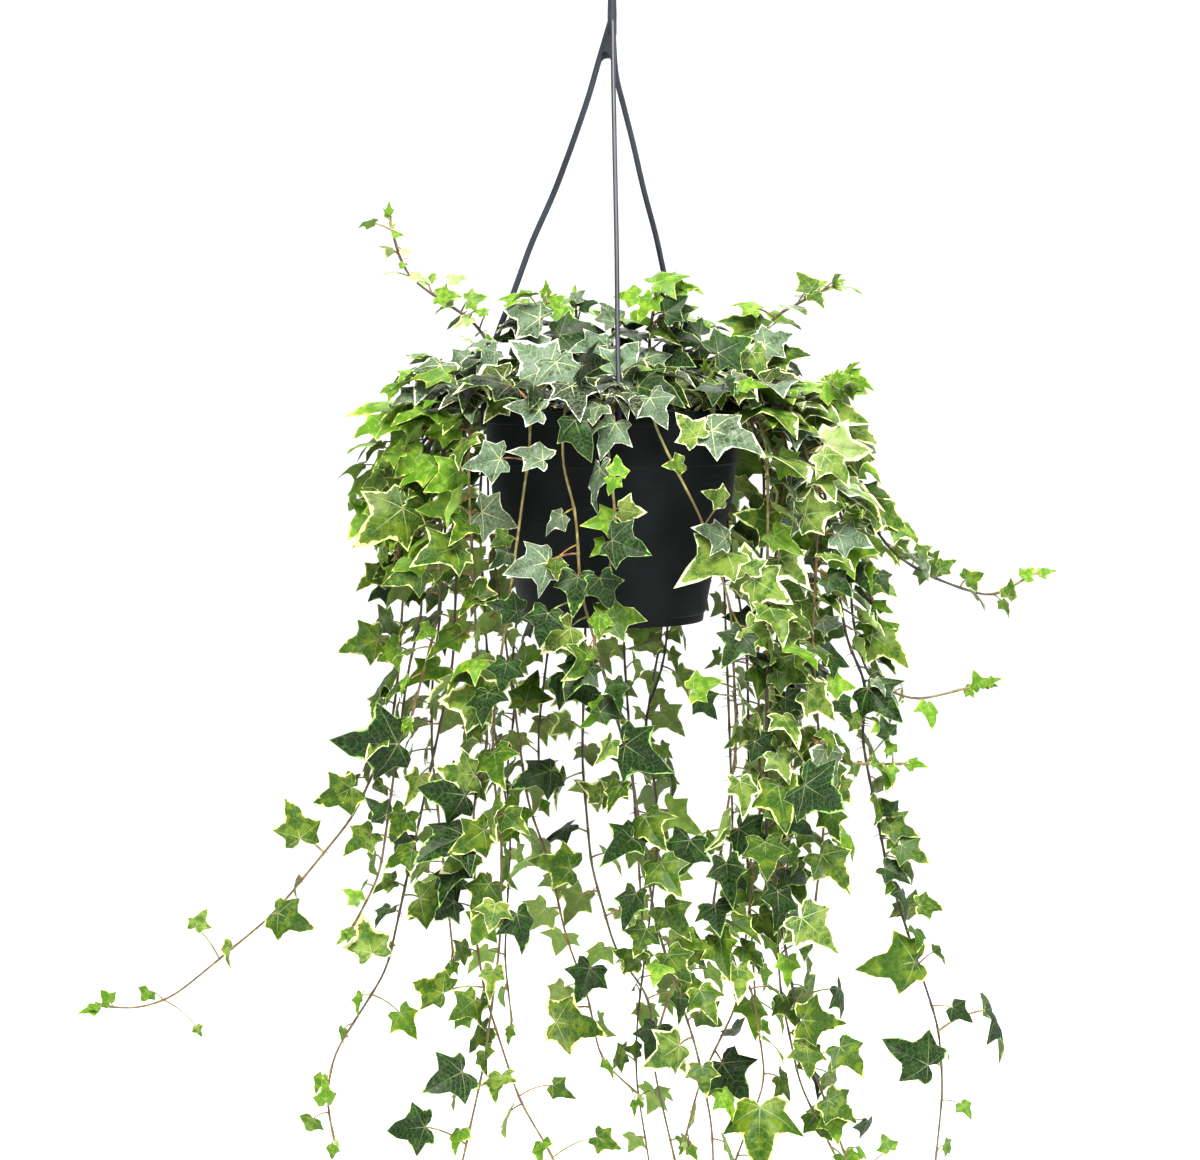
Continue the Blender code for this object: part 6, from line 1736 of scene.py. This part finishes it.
def bark_scatter_tree():
    """Scatters slivers of bark on the compost's top, each with its own turn and size."""
    group = piece_tree("bark_scatter", [("Forms", "Collection"), ("Density", "Float", 20000.0),
                                        ("Chip length", "Float", 0.006), ("Seed", "Int", 5)])
    upward = group.parts(group.node("GeometryNodeInputNormal", {}))[2]
    spots = group.node("GeometryNodeDistributePointsOnFaces", {
        "Mesh": group.given("Guide"), "Selection": upward.math("GREATER_THAN", 0.4),
        "Density": group.given("Density"), "Seed": group.given("Seed")})
    seed = group.given("Seed")
    turn = group.node("FunctionNodeRandomValue",
                      {0: (-0.5, -0.5, 0.0), 1: (0.5, 0.5, 6.28), "Seed": seed},
                      data_type="FLOAT_VECTOR")
    share = group.node("FunctionNodeRandomValue", {2: 0.35, 3: 1.0, "Seed": seed}, 1,
                       data_type="FLOAT")
    size = share * group.given("Chip length")
    return group.give_pieces(group.forms_on(spots, {"Rotation": turn, "Scale": size}))


# Sizes and colours that a user may change

def number_of(name, description, default, least, most, kind=FloatProperty, **sort):
    return kind(name=name, description=description, default=default, min=least, max=most, **sort)


length_of = functools.partial(number_of, unit="LENGTH", subtype="DISTANCE")
share_of = functools.partial(number_of, subtype="FACTOR")
count_of = functools.partial(number_of, kind=IntProperty)


def tint_of(name, description, default):
    return FloatVectorProperty(name=name, description=description + ", sRGB in steps of 255",
                               default=default, min=0.0, max=255.0, size=3)


def power_of(name, description, default):
    return FloatProperty(name=name, description=description, default=default, min=0.0,
                         unit="POWER")


class PotSizes(bpy.types.PropertyGroup):
    """The black pot."""
    edge_radius: length_of("Edge radius", "Rounding of the moulded edges",
                           0.0008, 0.0001, 0.002)
    sides: count_of("Sides", "Steps round the turned wall", 144, 48, 360)
    colour: tint_of("Colour", "Plain part of the black plastic", (2.0, 5.0, 5.0))
    lit_colour: tint_of("Worn colour", "Cloudy part of the black plastic", (5.0, 11.0, 11.0))


class HangerSizes(bpy.types.PropertyGroup):
    """The hanger with its hook and three straps."""
    strap_width: length_of("Strap width", "Wide side of a strap", 0.0039, 0.002, 0.006)
    strap_thickness: length_of("Strap thickness", "Thin side of a strap", 0.0031, 0.001, 0.005)
    web_thickness: length_of("Web thickness", "Webs in the forks under the hub",
                             0.0016, 0.0008, 0.004)
    colour: tint_of("Colour", "Plain part of the slate plastic", (20.0, 24.0, 29.0))
    lit_colour: tint_of("Worn colour", "Cloudy part of the slate plastic",
                        (34.0, 39.0, 48.0))


class CompostSizes(bpy.types.PropertyGroup):
    """The compost and the bark on it."""
    top_roughness: length_of("Top roughness", "Height of the dips and rises of its top",
                             0.0024, 0.0, 0.006)
    bark_density: number_of("Bark density", "Slivers of bark on each square metre",
                            22000.0, 0.0, 60000.0)
    bark_length: length_of("Bark length", "Longest sliver of bark", 0.0085, 0.002, 0.02)


class StemSizes(bpy.types.PropertyGroup):
    """The stems, leaf stalks and aerial roots."""
    root_radius: length_of("Root radius", "Half thickness of a stem in the compost",
                           0.00088, 0.0005, 0.003)
    tip_radius: length_of("Tip radius", "Half thickness of a stem at its tip",
                          0.00078, 0.0003, 0.002)
    route_step: length_of("Route step", "Distance between the rings of a stem",
                          0.006, 0.002, 0.02)
    root_share: share_of("Rooting nodes", "Share of the nodes that have aerial roots",
                         0.42, 0.0, 1.0)
    root_hair_length: length_of("Aerial root length", "Usual length of an aerial root",
                                0.0055, 0.001, 0.02)
    sides: count_of("Sides", "Sides of a stem's section", 6, 3, 16)


class LeafSizes(bpy.types.PropertyGroup):
    """The leaves."""
    blade_scale: share_of("Blade scale", "Size of every blade against its read length",
                          1.0, 0.5, 1.5)
    blade_thickness: share_of("Blade thickness", "Thickness as part of a blade's length",
                              0.013, 0.005, 0.04)


class StageSettings(bpy.types.PropertyGroup):
    """The pale floor, the light and the camera."""
    floor_height: length_of("Floor height", "Height of the floor under the hanging plant",
                            -1.15, -3.0, -0.95)
    key_strength: power_of("Key light", "Power of the large soft light at the upper front", 218.0)
    fill_strength: power_of("Fill light", "Power of the soft light at the right", 14.0)
    back_strength: power_of("Back light", "Power of the soft light behind and above", 45.0)
    room_colour: FloatVectorProperty(name="Room colour",
                                     description="Colour of the light from all round",
                                     default=(0.985, 0.992, 1.0), min=0.0, max=1.0, size=3,
                                     subtype="COLOR")
    room_strength: number_of("Room light", "Strength of the light from all round",
                             0.15, 0.0, 10.0)


class MakePot(bpy.types.Operator):
    """Makes the turned pot with its rim band, peg slots and drain holes"""
    bl_idname = "ivy_basket.make_pot"
    bl_label = "Pot"

    def execute(self, context):
        sizes = context.scene.ivy_pot
        wall = [(radius * MM, RIM_Z - depth * MM) for depth, radius in POT_INNER + POT_OUTER]
        profile = [(MM, wall[0][1])] + wall + [(MM, wall[-1][1])]
        cutters = []
        for name in STRAP_ROUTES:
            end = strap_corners(name)[-1]
            angle = math.atan2(end.y, end.x)
            place = (SLOT_RADIUS * math.cos(angle), SLOT_RADIUS * math.sin(angle),
                     RIM_Z - PEG_DEPTH)
            size = (SLOT_REACH, PEG_WIDTH + 2.0 * PEG_SLOT_GAP,
                    PEG_THICKNESS + 2.0 * PEG_SLOT_GAP)
            cutters.append(block_mesh("slot_" + name, place, size, angle))
        rows = [(MM, -DRAIN_CUT), (DRAIN_RADIUS, -DRAIN_CUT), (DRAIN_RADIUS, DRAIN_CUT),
                (MM, DRAIN_CUT)]
        for place in ring_points(DRAIN_RING, RIM_Z - POT_HEIGHT, 2 * DRAIN_COUNT)[1::2]:
            cutters.append(placed(turned_mesh("drain", rows, DRAIN_SIDES), place))
        shell = turned_mesh("pot_shell", rounded_profile(profile, sizes.edge_radius), sizes.sides)
        finish = moulded_plastic("black_plastic", sizes, 0.42, 0.07, True)
        add_piece("pot_shell", cut_mesh(shell, cutters), "pot", finish, 40.0)
        return {"FINISHED"}


class MakeHanger(bpy.types.Operator):
    """Makes the hook, the hub with its webs, the three straps and their pegs"""
    bl_idname = "ivy_basket.make_hanger"
    bl_label = "Hanger"

    def execute(self, context):
        sizes = context.scene.ivy_hanger
        collar = [(0.0005, HUB_TOP_Z + 0.001), (0.0024, HUB_TOP_Z + 0.001),
                  (0.003, HUB_TOP_Z - 0.001), (0.003, HUB_TOP_Z - 0.006),
                  (0.0026, HUB_TOP_Z - 0.008), (HUB_RADIUS, HUB_BOTTOM_Z + 0.016),
                  (HUB_RADIUS, HUB_BOTTOM_Z + 0.002), (0.0024, HUB_BOTTOM_Z - 0.001),
                  (0.0005, HUB_BOTTOM_Z - 0.001)]
        hub = turned_mesh("hub", rounded_profile(collar, 0.0008), 28)
        hook = swept_band("hook", hook_route(), 2.0 * HOOK_THICKNESS_RADIUS,
                          1.85 * HOOK_THICKNESS_RADIUS, Vector((0.0, 1.0, 0.0)))
        parts = [placed(hub, (-0.0004, 0.0, 0.0)), hook]
        peg = (STRAP_RIM_RADIUS + 0.0012 - PEG_INNER_RADIUS, PEG_WIDTH, PEG_THICKNESS)
        peg_z = RIM_Z - PEG_DEPTH
        barb = (BARB_THICKNESS, PEG_WIDTH - 0.0006, BARB_HEIGHT)
        barb_z = peg_z - PEG_THICKNESS / 2.0 + BARB_HEIGHT / 2.0 - 0.0002
        blocks = [("peg_", peg, peg_z, 0.0005), ("barb_", barb, barb_z, 0.0004)]
        routes = {name: strap_route(name) for name in STRAP_ROUTES}
        for name, route in routes.items():
            outward = Vector((route[-1].x, route[-1].y, 0.0)).normalized()
            angle = math.atan2(outward.y, outward.x)
            parts.append(swept_band("strap_" + name, route, sizes.strap_width,
                                    sizes.strap_thickness, outward))
            for kind, size, height, edge in blocks:
                place = outward * (PEG_INNER_RADIUS + size[0] / 2.0)
                place.z = height
                parts.append(block_mesh(kind + name, place, size, angle, edge))
        for first, second in (("front", "left"), ("front", "right"), ("left", "right")):
            parts.append(hub_web("web_%s_%s" % (first, second), routes[first][2:6],
                                 routes[second][2:6], sizes.web_thickness))
        finish = moulded_plastic("slate_plastic", sizes, 0.36, 0.25, False)
        moulding = joined_mesh("hanger_moulding", parts)
        add_piece("hanger_moulding", moulding, "hanger", finish, 40.0)
        return {"FINISHED"}


class MakeCompost(bpy.types.Operator):
    """Makes the compost that fills the pot and scatters bark on it"""
    bl_idname = "ivy_basket.make_compost"
    bl_label = "Compost"

    def execute(self, context):
        sizes = context.scene.ivy_compost
        peat = earthy_material("peat", *PEAT_TINTS, 240.0)
        top = add_piece("compost", compost_mesh(sizes.top_roughness), "soil", peat, 60.0)
        forms = bark_forms()
        values = {"Forms": forms, "Density": sizes.bark_density, "Seed": 5,
                  "Chip length": sizes.bark_length,
                  "Finish": earthy_material("bark", *BARK_TINTS, 320.0)}
        slivers = run_nodes(top.copy(), bark_scatter_tree(), values)
        add_piece("bark_slivers", slivers, "soil")
        remove_all(forms.objects)
        return {"FINISHED"}


class MakeStems(bpy.types.Operator):
    """Makes every stem with its leaf stalks and aerial roots"""
    bl_idname = "ivy_basket.make_stems"
    bl_label = "Stems"

    def execute(self, context):
        sizes = context.scene.ivy_stems
        tree = stem_sweep_tree()
        values = {"Sides": sizes.sides, "Finish": ivy_stem_material()}
        for vine in full_ivy():
            add_growth("stem_", vine, run_nodes(stem_lines(vine, sizes), tree, values), 60.0)
        return {"FINISHED"}


class MakeLeaves(bpy.types.Operator):
    """Sets all leaves on their stalks, one piece for each stem"""
    bl_idname = "ivy_basket.make_leaves"
    bl_label = "Leaves"

    def execute(self, context):
        sizes = context.scene.ivy_leaves
        forms = blade_forms(sizes.blade_thickness)
        tree = leaf_setting_tree()
        values = {"Forms": forms, "Blade scale": sizes.blade_scale, "Finish": ivy_blade_material()}
        for vine in full_ivy():
            add_growth("leaves_", vine, run_nodes(leaf_points(vine), tree, values))
        remove_all(forms.objects)
        return {"FINISHED"}


# Stage: the flat floor's radius, the bend and the wall round it, and the lights' places, sizes
# and colours
FLOOR_RADIUS = 4.0
FLOOR_BEND = 3.0
FLOOR_STEPS = 16
WALL_HEIGHT = 6.0
PLANT_MIDDLE = (0.0, 0.0, -0.45)
LIGHTS = {
    "key": ((0.15, -1.4, 1.35), 1.1, (1.0, 0.985, 0.96)),
    "fill": ((1.7, -1.1, 0.1), 1.4, (0.96, 0.98, 1.0)),
    "back": ((0.3, 1.5, 0.7), 1.4, (1.0, 1.0, 1.0)),
}


class MakeStage(bpy.types.Operator):
    """Makes the pale floor that curves up all round, the soft lights and the camera"""
    bl_idname = "ivy_basket.make_stage"
    bl_label = "Stage"

    def execute(self, context):
        scene = context.scene
        sizes = scene.ivy_stage
        floor = sizes.floor_height
        rows = [(1.0, floor), (2.5, floor), (FLOOR_RADIUS, floor)]
        for step in range(1, FLOOR_STEPS + 1):
            angle = math.radians(90.0 * step / FLOOR_STEPS)
            rows.append((FLOOR_RADIUS + FLOOR_BEND * math.sin(angle),
                         floor + FLOOR_BEND * (1.0 - math.cos(angle))))
        rows.append((FLOOR_RADIUS + FLOOR_BEND, floor + WALL_HEIGHT))
        verts, faces = turned_shape(rows, 96)
        mesh = closed_mesh("pale_floor", verts, faces[:-1])
        mesh.shade_smooth()
        mesh.materials.append(studio_paper_material())
        new_object("pale_floor", mesh)
        scene.world = bpy.data.worlds.new("studio_air")
        scene.world.use_nodes = True
        air = scene.world.node_tree.nodes["Background"]
        air.inputs["Color"].default_value = (*sizes.room_colour, 1.0)
        air.inputs["Strength"].default_value = sizes.room_strength
        for name, (place, size, colour) in LIGHTS.items():
            add_light(name + "_light", place, size, getattr(sizes, name + "_strength"), colour)
        camera = bpy.data.cameras.new("photo_camera")
        camera.sensor_width = 36.0
        camera.lens = camera.sensor_width * FOCAL_PIXELS / (2.0 * PHOTO_CENTRE_X)
        camera.clip_start = 0.01
        camera.clip_end = 60.0
        scene.camera = new_object("photo_camera", camera)
        scene.camera.location = VIEW_POINT
        scene.camera.rotation_euler = (math.radians(90.0) - VIEW_PITCH, 0.0, 0.0)
        scene.view_settings.view_transform = "Standard"
        scene.view_settings.look = "None"
        return {"FINISHED"}


def add_light(name, place, size, power, colour):
    """A large square light that faces the middle of the plant."""
    lamp = bpy.data.lights.new(name, "AREA")
    lamp.size = size
    lamp.energy = power
    lamp.color = colour
    item = new_object(name, lamp)
    item.location = place
    sight = Vector(PLANT_MIDDLE) - Vector(place)
    item.rotation_euler = sight.to_track_quat("-Z", "Y").to_euler()


SETTINGS = {
    "ivy_stage": (StageSettings, MakeStage), "ivy_pot": (PotSizes, MakePot),
    "ivy_hanger": (HangerSizes, MakeHanger), "ivy_compost": (CompostSizes, MakeCompost),
    "ivy_stems": (StemSizes, MakeStems), "ivy_leaves": (LeafSizes, MakeLeaves),
}


class BasketPanel(bpy.types.Panel):
    """Lists the pieces of the basket with their sizes"""
    bl_idname = "VIEW3D_PT_ivy_basket"
    bl_label = "Ivy hanging basket"
    bl_space_type = "VIEW_3D"
    bl_region_type = "UI"
    bl_category = "Ivy basket"

    def draw(self, context):
        for name, (_, operator) in SETTINGS.items():
            box = self.layout.box()
            box.operator(operator.bl_idname)
            settings = getattr(context.scene, name)
            for field in settings.__annotations__:
                box.prop(settings, field)


def register():
    for name, (settings, operator) in SETTINGS.items():
        bpy.utils.register_class(settings)
        setattr(bpy.types.Scene, name, PointerProperty(type=settings))
        bpy.utils.register_class(operator)
    bpy.utils.register_class(BasketPanel)


def unregister():
    bpy.utils.unregister_class(BasketPanel)
    for name, (settings, operator) in reversed(SETTINGS.items()):
        bpy.utils.unregister_class(operator)
        delattr(bpy.types.Scene, name)
        bpy.utils.unregister_class(settings)


def main():
    register()
    bpy.ops.ivy_basket.make_stage()
    bpy.ops.ivy_basket.make_pot()
    bpy.ops.ivy_basket.make_hanger()
    bpy.ops.ivy_basket.make_compost()
    bpy.ops.ivy_basket.make_stems()
    bpy.ops.ivy_basket.make_leaves()


if __name__ == "__main__":
    main()
